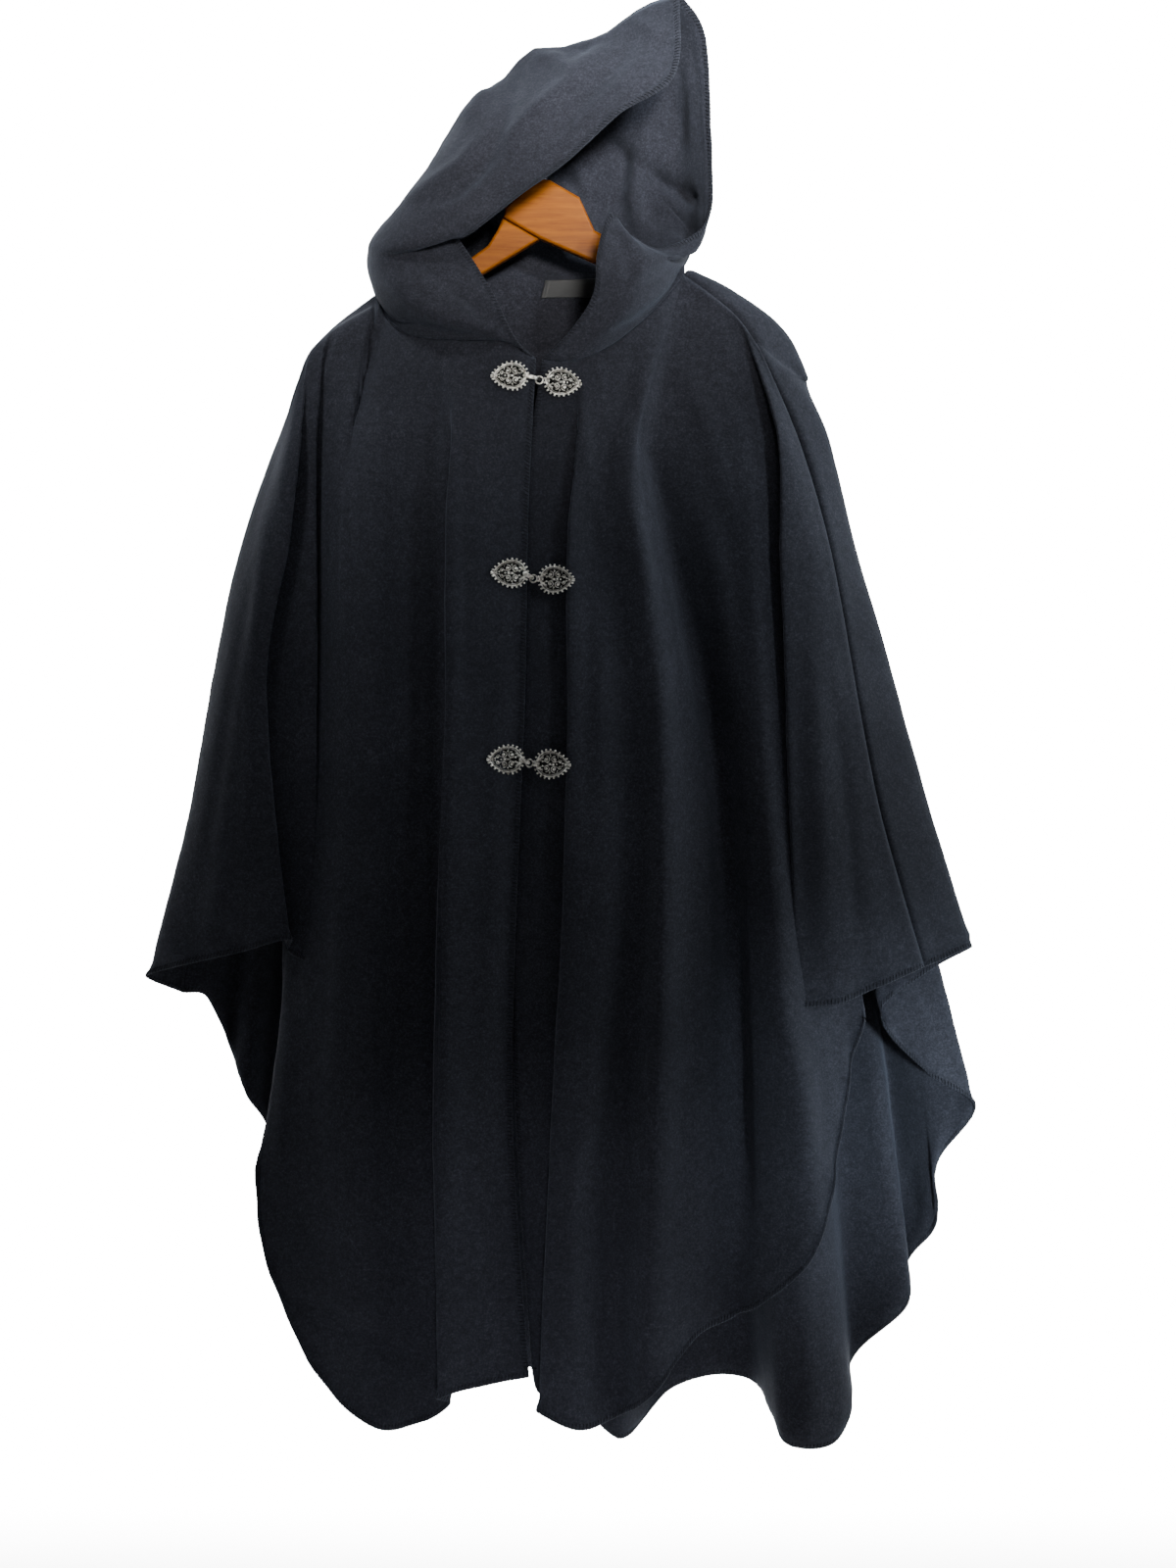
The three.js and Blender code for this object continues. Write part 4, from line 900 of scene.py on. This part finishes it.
def thread_material():
    """Dark overlock thread: black twisted yarn, glossier than the nap, with strands as fine ridges."""
    mat, tree, shader, place = material(
        "edge_thread", Roughness=0.85, Specular_IOR_Level=0.15, Sheen_Weight=0.05, Sheen_Roughness=0.4,
        Sheen_Tint=(0.6, 0.66, 0.8, 1))
    strand = noise(tree, place, 2200.0, 2.0, 0.6)
    base = ramp(tree, strand, [(0.3, (0.002, 0.0022, 0.0034)), (0.7, (0.009, 0.0098, 0.013))])
    joined(tree, shader, Base_Color=base, Normal=bumps(tree, strand, 0.4, 0.0003))
    return mat


def wood_material():
    """Varnished beech: orange brown, long grain along the arm, short darker flecks, slow colour bands."""
    mat, tree, shader, place = material(
        "hanger_wood", Specular_IOR_Level=0.08, Coat_Weight=0.03, Coat_Roughness=0.2)
    grain = noise(tree, stretched(tree, place, (26, 420, 380)), 1.0, 5.0, 0.62, 0.4)
    band = noise(tree, stretched(tree, place, (7, 60, 70)), 1.0, 3.0, 0.5, 0.8)
    fleck = noise(tree, stretched(tree, place, (160, 900, 1500)), 1.0, 2.0, 0.5)
    base = ramp(tree, grain, [(0.3, (0.13, 0.034, 0.0002)), (0.5, (0.18, 0.05, 0.0003)),
                              (0.72, (0.225, 0.07, 0.0008))])
    bands = ramp(tree, band, [(0.3, (0.78, 0.74, 0.68)), (0.68, (1.12, 1.1, 1.06))])
    marks = ramp(tree, fleck, [(0.28, (0.62, 0.55, 0.48)), (0.36, 1.0)])
    colour = times(tree, base, bands)
    joined(tree, shader, Base_Color=mixed(tree, 0.6, colour, times(tree, colour, marks)),
           Roughness=ramp(tree, band, [(0.3, 0.3), (0.7, 0.46)]), Normal=bumps(tree, grain, 0.12, 0.0004))
    return mat


def silver_material():
    """Cast metal with an aged silver finish: bright worn crests, dark tarnish kept in pits and hollows."""
    mat, tree, shader, place = material("aged_silver", Metallic=0.8)
    grime = noise(tree, place, 420.0, 4.0, 0.65)
    fine = noise(tree, place, 2400.0, 3.0, 0.6)
    hollow = tree.nodes.new("ShaderNodeAttribute")
    hollow.attribute_name = "tarnish"
    dark = mixed(tree, hollow.outputs["Fac"], (0.9, 0.87, 0.8, 1), (0.008, 0.0075, 0.007, 1))
    stain = ramp(tree, grime, [(0.36, (0.2, 0.19, 0.17)), (0.64, 1.0)])
    joined(tree, shader, Base_Color=times(tree, dark, stain), Normal=bumps(tree, fine, 0.18, 0.0002),
           Roughness=ramp(tree, grime, [(0.3, 0.5), (0.7, 0.3)]))
    return mat


def wire_material():
    """Bright plated steel wire with a few dull spots."""
    mat, tree, shader, place = material("plated_wire", Metallic=1.0)
    spots = noise(tree, place, 300.0, 4.0, 0.6)
    base = ramp(tree, spots, [(0.35, (0.42, 0.42, 0.43)), (0.6, (0.62, 0.62, 0.63))])
    joined(tree, shader, Base_Color=base, Roughness=ramp(tree, spots, [(0.3, 0.3), (0.7, 0.14)]))
    return mat


def label_material():
    """Blank woven label: fine satin ribs across its width, grey on dark grey."""
    mat, tree, shader, place = material("woven_label", Roughness=0.5, Sheen_Weight=0.15)
    rib = joined(tree, tree.nodes.new("ShaderNodeTexWave"), Vector=place, Scale=420.0, Distortion=0.6)
    rib.bands_direction = "Z"
    base = ramp(tree, rib.outputs["Fac"], [(0.2, (0.004, 0.0042, 0.0044)), (0.8, (0.014, 0.0146, 0.0152))])
    tint = ramp(tree, noise(tree, place, 700.0, 3.0, 0.6), [(0.3, 0.8), (0.7, 1.2)])
    joined(tree, shader, Base_Color=times(tree, base, tint),
           Normal=bumps(tree, rib.outputs["Fac"], 0.35, 0.0003))
    return mat


WOOL, THREAD, WOOD = wool_material(), thread_material(), wood_material()
SILVER, WIRE, LABEL_CLOTH = silver_material(), wire_material(), label_material()


def dress(piece, mat):
    piece.data.materials.clear()
    piece.data.materials.append(mat)
    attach(piece, "root")
    return piece


# The flat cut of each cloth: width and length in metres, its area in square metres, and what it hangs from.
ARMS = ("hanger_arm_left", "hanger_arm_right")
CUTS = {
    "front_right": (0.905, 1.01, 0.36, ARMS[:1]),
    "back": (1.74, 1.13, 0.82, ARMS),
    "front_left": (0.825, 0.99, 0.367, ARMS[1:]),
    "hood_right": (0.355, 0.505, 0.07, ("cloth_back", "cloth_front_right")),
    "hood_left": (0.37, 0.49, 0.064, ("cloth_back", "cloth_front_left")),
}
for name, (wide, long, area, holders) in CUTS.items():
    piece, thread = cloth_wall(name)
    dress(piece, WOOL)
    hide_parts(name)
    if thread:
        dress(thread, THREAD)


LABEL_LONG, LABEL_HIGH = 52, 17.7  # mm
LABEL_COLUMNS, LABEL_ROWS = 67, 25


def label_tape():
    """The blank label: a woven tape, both ends turned under, on the back's inside below the seam."""
    where = np.linspace(0.1, 3.4, LABEL_COLUMNS)
    rows = np.interp(np.linspace(0.4, 1.65, LABEL_ROWS), np.arange(len(EASY_ROWS)), EASY_ROWS)
    i = (NAPE + where) * FINE
    j = np.interp(rows, FINE_ROWS, np.arange(len(FINE_ROWS)))
    lo_i, lo_j = i.astype(int), j.astype(int)
    s, t = (i - lo_i)[None, :, None], (j - lo_j)[:, None, None]

    def read(net):
        near = net[lo_j][:, lo_i] * (1 - s) + net[lo_j][:, lo_i + 1] * s
        far = net[lo_j + 1][:, lo_i] * (1 - s) + net[lo_j + 1][:, lo_i + 1] * s
        return near * (1 - t) + far * t

    form, n = read(CLOTHS["back"][3]), read(NORMALS["back"])
    across, down = np.linspace(0, 1, LABEL_COLUMNS)[None], np.linspace(0, 1, LABEL_ROWS)[:, None]
    end = np.minimum(across, 1 - across) * LABEL_LONG
    rim = np.minimum(end, np.minimum(down, 1 - down) * LABEL_HIGH)
    turned = 1 - smooth_step((end - 4.2) / 0.8)
    dip = bell(end - 2.2, 0.5) * (0.5 + 0.5 * np.cos(down * LABEL_HIGH * 2 * np.pi / 1.9))
    swell = 0.5 * np.sin(across * np.pi) * np.sin(down * np.pi) + 0.2 * np.sin(across * 9 + down * 3)
    top = 0.34 + 0.22 * turned + swell - 0.3 * dip - 0.2 * np.exp(-rim / 0.25)
    low = -0.2 + 0.6 * swell * smooth_step(rim / 2)
    lift = -(WALL / 2 + 0.75)
    grids = [form + n * (lift - top)[..., None], form + n * (lift - low)[..., None]]
    idx = np.arange(LABEL_ROWS * LABEL_COLUMNS).reshape(LABEL_ROWS, LABEL_COLUMNS)
    quads, loop = grid_quads(idx), rim_loop(idx)
    after = np.roll(loop, -1)
    sides = np.stack([loop, after, after + idx.size, loop + idx.size], -1)
    faces = np.concatenate([quads[:, ::-1], quads + idx.size, sides])
    tape = mesh_piece("label_tape", np.concatenate([g.reshape(-1, 3) for g in grids]), faces)
    dress(tape, LABEL_CLOTH)
    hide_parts("neck_label")


label_tape()
for name, mat in ((ARMS[0], WOOD), (ARMS[1], WOOD), ("hanger_hook", WIRE)):
    for slot in bpy.data.objects[name].material_slots:
        slot.material = mat


# Clasps, in mm on each leaf: x along it from the pointed end (-) to the round one, y up, z outwards.
# u and v of the hook half's and the eye half's leaf, and their tilt in degrees.
CLASPS = {
    "top": [(520, 383, 2), (574, 389, -5)],
    "middle": [(520, 585, 0), (568, 592, -3)],
    "bottom": [(516, 775, 0), (564, 780, -3)],
}
LEAF_LONG, LEAF_WIDE, RING_R, RING_WIRE = 36, 28, 3.3, 0.85
TEETH, RIM_POINTS, TONGUE_SIDES = 24, 120, 14
HOOK_Y, EYE_Y = -60, -56  # near enough where the leaves lie to place them by u and v


def outline(a, share):
    """Leaf outline: -cos a along, a sine narrowed towards the pointed end across."""
    return np.stack([-share * LEAF_LONG / 2 * np.cos(a),
                     -share * 0.57 * LEAF_WIDE * np.sin(a) * np.abs(np.sin(a / 2)) ** 0.42, 0 * a], -1)


def rod(path, radius, closed=False, sides=8, flat=1.0):
    """Round wire along a path: rings across its tangent, with open ends drawn to a point."""
    path = np.asarray(path, float)
    tangent = unit(np.roll(path, -1, 0) - np.roll(path, 1, 0) if closed else np.gradient(path, axis=0))
    side = unit(np.cross(tangent, (0, 0, 1.0)))
    lift = np.cross(side, tangent)
    radius = np.broadcast_to(radius, len(path))[:, None, None]
    a = np.linspace(0, 2 * np.pi, sides, endpoint=False)[:, None]
    rings = path[:, None] + radius * (np.cos(a) * side[:, None] + flat * np.sin(a) * lift[:, None])
    points = rings.reshape(-1, 3)
    if not closed:
        tips = path[[0, -1]] + 0.8 * radius[[0, -1], 0] * tangent[[0, -1]] * [[-1], [1]]
        points = np.concatenate([points, tips])
    return points, tube_faces(len(path), sides, closed)


def ball(centre, radius, tall=0.8):
    """Small bead: eight rings of ten about its axis z, from the bottom up, flattened by tall."""
    t = np.linspace(np.pi - 0.02, 0.02, 8)[:, None]
    a = np.linspace(0, 2 * np.pi, 10, endpoint=False)
    rings = np.stack([np.sin(t) * np.cos(a), np.sin(t) * np.sin(a), tall * np.cos(t) + 0 * a], -1)
    points = np.concatenate([rings.reshape(-1, 3), [[0, 0, -tall], [0, 0, tall]]])
    return points * radius + centre, tube_faces(8, 10)


def curl(centre, size, start, turns, hand, z=1.1):
    """Scroll: a spiral whose radius shrinks evenly from size to a fifth of it over its turns."""
    t = np.linspace(0, 1, 26)
    r, a = size * (1 - 0.8 * t), start + hand * 2 * np.pi * turns * t
    return np.stack([centre[0] + r * np.cos(a), centre[1] + r * np.sin(a), z + 0.35 * t], -1)


def leaf_parts():
    """Openwork leaf: two rim wires, rounded teeth outside them, scrolls, bars and beads within."""
    around = np.linspace(0, 2 * np.pi, RIM_POINTS, endpoint=False)
    parts = [rod(outline(around, share) + (0, 0, z), thick, closed=True)
             for share, z, thick in ((0.8, 1.0, 0.75), (0.7, 0.8, 0.55))]
    t = np.linspace(0, 1, 6)[:, None]
    for k in range(TEETH):
        a = 2 * np.pi * (k + 0.5) / TEETH
        inner, outer = outline(a, 0.79), outline(a, 0.955)
        path = inner + (outer - inner) * t + (0, 0, 1) * (0.85 + 0.45 * np.sin(np.pi * t * 0.8))
        parts.append(rod(path, np.array([0.5, 0.55, 0.7, 0.9, 1.0, 0.75]), flat=0.85))
    t = np.linspace(0, 1, 18)[:, None]
    for k in (1, -1):
        for x, y, size, start, turns, hand, thick in (
                (5.2, 3.9, 3.1, 1.4, 1.35, 1, 0.52), (-1.6, 4.3, 2.9, 1.9, 1.3, -1, 0.5),
                (-7.2, 2.4, 1.9, 0.4, 1.0, 1, 0.46)):
            parts.append(rod(curl((x, y * k), size, k * start, turns, k * hand), thick))
        vein = k * (0.5 + 2.1 * np.sin(np.pi * t * 1.6) ** 2)
        parts.append(rod(np.concatenate([-13 + 24 * t, vein, 0.9 + 0.3 * t * (1 - t)], 1), 0.5))
        for x, y, r in ((5.2, 3.9, 0.95), (-1.6, 4.3, 0.85), (1.8, 7.4, 0.7), (8.8, 1.9, 0.75),
                        (-6.9, 2.4, 0.7), (-9.6, 0.9, 0.6)):
            parts.append(ball((x, y * k, 1.55), r))
        for x, y0, y1 in ((2.0, 6.2, 10.2), (-5.0, 5.4, 8.8), (8.5, 4.6, 8.2)):
            parts.append(rod(np.linspace((x, k * y0, 0.9), (x + 0.6, k * y1, 0.9), 5), 0.45))
    for x, r in ((2.0, 0.95), (-1.2, 1.05), (-4.2, 0.8), (12.6, 1.1), (-12.6, 0.85)):
        parts.append(ball((x, 0, 1.7), r))
    for x0, y0, x1, y1 in ((-14, -1.0, -10, -4.2), (-14, 1.0, -10, 4.2), (-15, 0, -11, 0)):
        parts.append(rod(np.linspace((x0, y0, 0.9), (x1, y1, 0.9), 6), 0.4))
    a = np.pi * (np.linspace(0, 1, 14) - 0.5)
    boss = np.stack([11.2 + 3.2 * np.cos(1.5 * a), 5.2 * np.sin(1.1 * a), 1.2 + 0 * a], -1)
    parts += [rod(boss, 0.8, flat=0.8), rod(boss * (0.93, 0.72, 1) + (2.2, 0, 0.2), 0.7, flat=0.8)]
    # thin sunken plate between the wires, behind the openings; the leaf's parts overlap, each closed
    share, high = np.array([(0.74, 0.15), (0.74, 0.55), (0.02, 0.5), (0.02, 0.2)]).T[:, :, None, None]
    back_plate = outline(around, 1.0) * share + high * (0, 0, 1.0)
    parts.append((back_plate.reshape(-1, 3), tube_faces(4, RIM_POINTS, closed=True, inside_out=True)))
    return parts


def points_of(mesh):
    """A mesh's points in mm."""
    flat = np.empty(len(mesh.vertices) * 3)
    mesh.vertices.foreach_get("co", flat)
    return flat.reshape(-1, 3) * 1000


def leaf_frame(node, u, v, depth, turn):
    """Origin and axes of a leaf: its flat back's plane in the CAD node, and its tilt in that plane."""
    mesh = bpy.data.objects[node].data
    mesh.calc_loop_triangles()
    corners = np.empty(len(mesh.loop_triangles) * 3, np.int32)
    mesh.loop_triangles.foreach_get("vertices", corners)
    a, b, c = points_of(mesh)[corners].reshape(-1, 3, 3).transpose(1, 0, 2)
    n = np.cross(b - a, c - a)
    size = np.linalg.norm(n, axis=1)
    n = unit(n)
    faces_back = n[:, 1] > 0.85
    best = n[faces_back][np.argmax(size[faces_back])]
    same = faces_back & (n @ best > 0.9995)
    out = unit(-(n[same] * size[same, None]).sum(0))
    centre = at([u, v, depth])
    spot = a[same][np.argmax(size[same])]
    centre[1] = spot[1] - (out[0] * (centre[0] - spot[0]) + out[2] * (centre[2] - spot[2])) / out[1]
    right = np.array([math.cos(turn), 0, math.sin(turn)])
    right = unit(right - out * (right @ out))
    return centre, np.stack([right, np.cross(out, right), out])


def tongue(start, target):
    """The hook's flat tongue: rounded oblong sections, lifting into a blunt tip over the ring."""
    s = np.array([0, 0.3, 0.55, 0.72, 0.86, 0.95, 1])
    path = start + (target - start) * s[:, None]
    path[:, 1] = np.where(s < 0.8, min(start[1], target[1]), target[1])
    a = np.linspace(0, 2 * np.pi, TONGUE_SIDES, endpoint=False)[:, None]
    wide = (2.5 - s)[:, None, None] * np.sign(np.cos(a)) * np.abs(np.cos(a)) ** 0.5
    forward, ahead = np.array([0, -1.0, 0]), unit(target - start)
    rings = path[:, None] + wide * np.cross(forward, ahead) + 0.72 * np.sin(a) * forward
    ends = [path[0] - ahead * 0.5, path[-1] + ahead * 0.8]
    return np.concatenate([rings.reshape(-1, 3), ends]), tube_faces(len(s), TONGUE_SIDES)


def clasp_half(node, centre, axes, points, quads):
    """A clasp half in place of its CAD node, with the depth below its crests kept as its tarnish."""
    piece = mesh_piece("clasp_" + node, points, quads)
    high = (points_of(piece.data) - centre) @ axes[2]
    layer = piece.data.attributes.new("tarnish", "FLOAT", "POINT")
    layer.data.foreach_set("value", np.clip((1.95 - high) / 1.1, 0, 1).astype(np.float32))
    dress(piece, SILVER)
    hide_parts(node)


LEAF_POINTS, LEAF_QUADS = gathered(leaf_parts())
RING_X = -(LEAF_LONG / 2 + RING_R - 0.2)
turn_round = np.linspace(0, 2 * np.pi, 28, endpoint=False)
RING = rod(np.stack([RING_X + RING_R * np.cos(turn_round), RING_R * np.sin(turn_round),
                     RING_WIRE + 0.1 + 0 * turn_round], -1), RING_WIRE, closed=True, sides=10)
for place, ((hook_u, hook_v, hook_turn), (eye_u, eye_v, eye_turn)) in CLASPS.items():
    eye_at, eye_axes = leaf_frame("eye_" + place, eye_u, eye_v, EYE_Y, math.radians(eye_turn))
    hook_at, hook_axes = leaf_frame("hook_" + place, hook_u, hook_v, HOOK_Y, math.radians(hook_turn))
    points, quads = gathered([(LEAF_POINTS * (-1, -1, 1), LEAF_QUADS), RING])
    clasp_half("eye_" + place, eye_at, eye_axes, eye_at + points @ eye_axes, quads)
    over_ring = eye_at + np.array([RING_X + 0.4, 0, 2 * RING_WIRE + 1.2]) @ eye_axes
    root = hook_at + np.array([LEAF_LONG / 2 - 5, 0, 1.0]) @ hook_axes
    points, quads = gathered([(hook_at + LEAF_POINTS @ hook_axes, LEAF_QUADS), tongue(root, over_ring)])
    clasp_half("hook_" + place, hook_at, hook_axes, points, quads)

# Floor, backdrop, camera and lights
FLOOR_Z, PAPER_TOP, PAPER_HALF, PAPER_FRONT, PAPER_BACK, BEND = -1.56, 3.2, 4.5, -5.0, 2.0, 0.9


def stage_sheet():
    """Floor that turns up into a wall on a quarter circle, plain and pale."""
    x = np.linspace(-PAPER_HALF, PAPER_HALF, 3)
    a = np.linspace(0, np.pi / 2, 17)
    y = np.concatenate([[PAPER_FRONT], PAPER_BACK - BEND + BEND * np.sin(a), [PAPER_BACK]])
    z = np.concatenate([[FLOOR_Z], FLOOR_Z + BEND * (1 - np.cos(a)), [PAPER_TOP]])
    grid = np.stack([np.tile(x, (len(y), 1)), np.repeat(y[:, None], 3, 1), np.repeat(z[:, None], 3, 1)], -1)
    idx = np.arange(3 * len(y)).reshape(-1, 3)
    return mesh_piece("stage_paper", grid.reshape(-1, 3) * 1000, grid_quads(idx))


def scaled(tree, value, factor, plus=0.0):
    """The output of value * factor + plus."""
    node = tree.nodes.new("ShaderNodeMath")
    node.operation = "MULTIPLY_ADD"
    fill(tree, node.inputs, (value, factor, plus))
    return node.outputs[0]


def camera_ray(tree):
    """1 for rays from the camera, 0 for others."""
    return tree.nodes.new("ShaderNodeLightPath").outputs["Is Camera Ray"]


def paper_material():
    """Pale paper that glows towards the back, more to the camera, and is clear from its own back, so that
    views from behind the cloak aren't blocked by it."""
    paper, tree, shader, place = material(
        "pale_paper", Base_Color=(0.8, 0.8, 0.8, 1), Roughness=0.9, Emission_Color=(1, 1, 1, 1))
    apart = joined(tree, tree.nodes.new("ShaderNodeSeparateXYZ"), Vector=place)
    glow = joined(tree, tree.nodes.new("ShaderNodeMapRange"), Value=apart.outputs["Y"], From_Min=0.25,
                  From_Max=1.1, To_Min=0.0, To_Max=3.0)
    glow.interpolation_type = "SMOOTHSTEP"
    lit = scaled(tree, glow.outputs["Result"], scaled(tree, camera_ray(tree), 5.0, 1.0))
    joined(tree, shader, Emission_Strength=lit)
    either = tree.nodes.new("ShaderNodeMixShader")
    fill(tree, either.inputs, (tree.nodes.new("ShaderNodeNewGeometry").outputs["Backfacing"],
                               shader.outputs[0], tree.nodes.new("ShaderNodeBsdfTransparent").outputs[0]))
    joined(tree, tree.nodes["Material Output"], Surface=either.outputs[0])
    return paper


stage = stage_sheet()
stage.data.materials.append(paper_material())

camera = bpy.data.objects.new("camera", bpy.data.cameras.new("camera"))
camera.location = (0.045, -2.2, -0.63)
camera.rotation_euler = (math.pi / 2, 0, 0)
camera.data.lens, camera.data.sensor_width, camera.data.sensor_fit = 55, 36, "VERTICAL"
camera.data.sensor_height = 36
bpy.context.scene.collection.objects.link(camera)
bpy.context.scene.camera = camera


def aimed(name, lamp, place, aim):
    holder = bpy.data.objects.new(name, lamp)
    holder.location = place
    way = unit(np.subtract(aim, place))
    holder.rotation_euler = (math.acos(-way[2]), 0, math.atan2(-way[0], way[1]))
    bpy.context.scene.collection.objects.link(holder)


def soft_light(name, place, aim, size, power, tint=(1, 1, 1)):
    lamp = bpy.data.lights.new(name, "AREA")
    lamp.shape, lamp.size, lamp.size_y, lamp.energy, lamp.color = "RECTANGLE", size[0], size[1], power, tint
    aimed(name, lamp, place, aim)


def spot_light(name, place, aim, power, cone, size, tint=(1, 1, 1)):
    lamp = bpy.data.lights.new(name, "SPOT")
    lamp.energy, lamp.spot_size, lamp.spot_blend, lamp.shadow_soft_size = power, math.radians(cone), 1.0, size
    lamp.color = tint
    aimed(name, lamp, place, aim)


# The room's window is at the image right, nearly in the cloth's own plane, so it grazes the fronts.
COOL = (0.86, 0.94, 1)
soft_light("window", (1.7, -0.12, -0.35), (0.2, 0, -0.6), (0.8, 1.5), 30, (0.88, 0.96, 1))
soft_light("far_side", (-1.7, -0.3, 0.1), (-0.2, 0, -0.5), (0.8, 1.2), 8, (0.9, 0.96, 1))
soft_light("above", (0.1, -0.35, 1.3), (0.0, 0.0, -0.3), (0.6, 0.3), 8, (0.97, 0.98, 1))
soft_light("front", (-0.6, -2.6, 0.2), (0, 0, -0.7), (1.4, 1.4), 1.3, (0.96, 0.92, 1))
soft_light("behind", (-0.5, 1.0, 1.0), (0, 0.1, -0.6), (1.2, 0.8), 4, COOL)
spot_light("head_spot", (0.42, -1.95, 0.1), (0.03, 0, 0.035), 480, 20, 0.2, (1, 0.98, 0.95))
spot_light("hood_spot", (0.95, -1.6, 0.45), (0.13, 0.0, 0.06), 500, 14, 0.15, COOL)
spot_light("back_spot", (1.15, -1.5, -1.35), (0.345, 0.05, -0.93), 470, 13, 0.12, (0.8, 0.92, 1))
spot_light("sleeve_spot", (1.5, -1.0, 0.25), (0.3, 0.0, -0.33), 110, 24, 0.15, COOL)
spot_light("left_shoulder", (-0.7, -0.75, 1.1), (-0.2, 0.0, -0.22), 135, 15, 0.1, (0.93, 0.97, 1))
spot_light("right_shoulder", (0.75, 0.1, 0.75), (0.22, 0.025, -0.262), 55, 13, 0.1, COOL)
spot_light("hem_spot", (0.1, -1.7, -1.5), (0.02, 0.0, -1.16), 90, 20, 0.12, (0.88, 0.92, 1))
world = bpy.data.worlds.new("pale_room")
world.use_nodes = True
sky = world.node_tree.nodes["Background"]
joined(world.node_tree, sky, Color=(0.9, 0.92, 0.95, 1),
       Strength=scaled(world.node_tree, camera_ray(world.node_tree), 1.2, 0.012))
bpy.context.scene.world = world
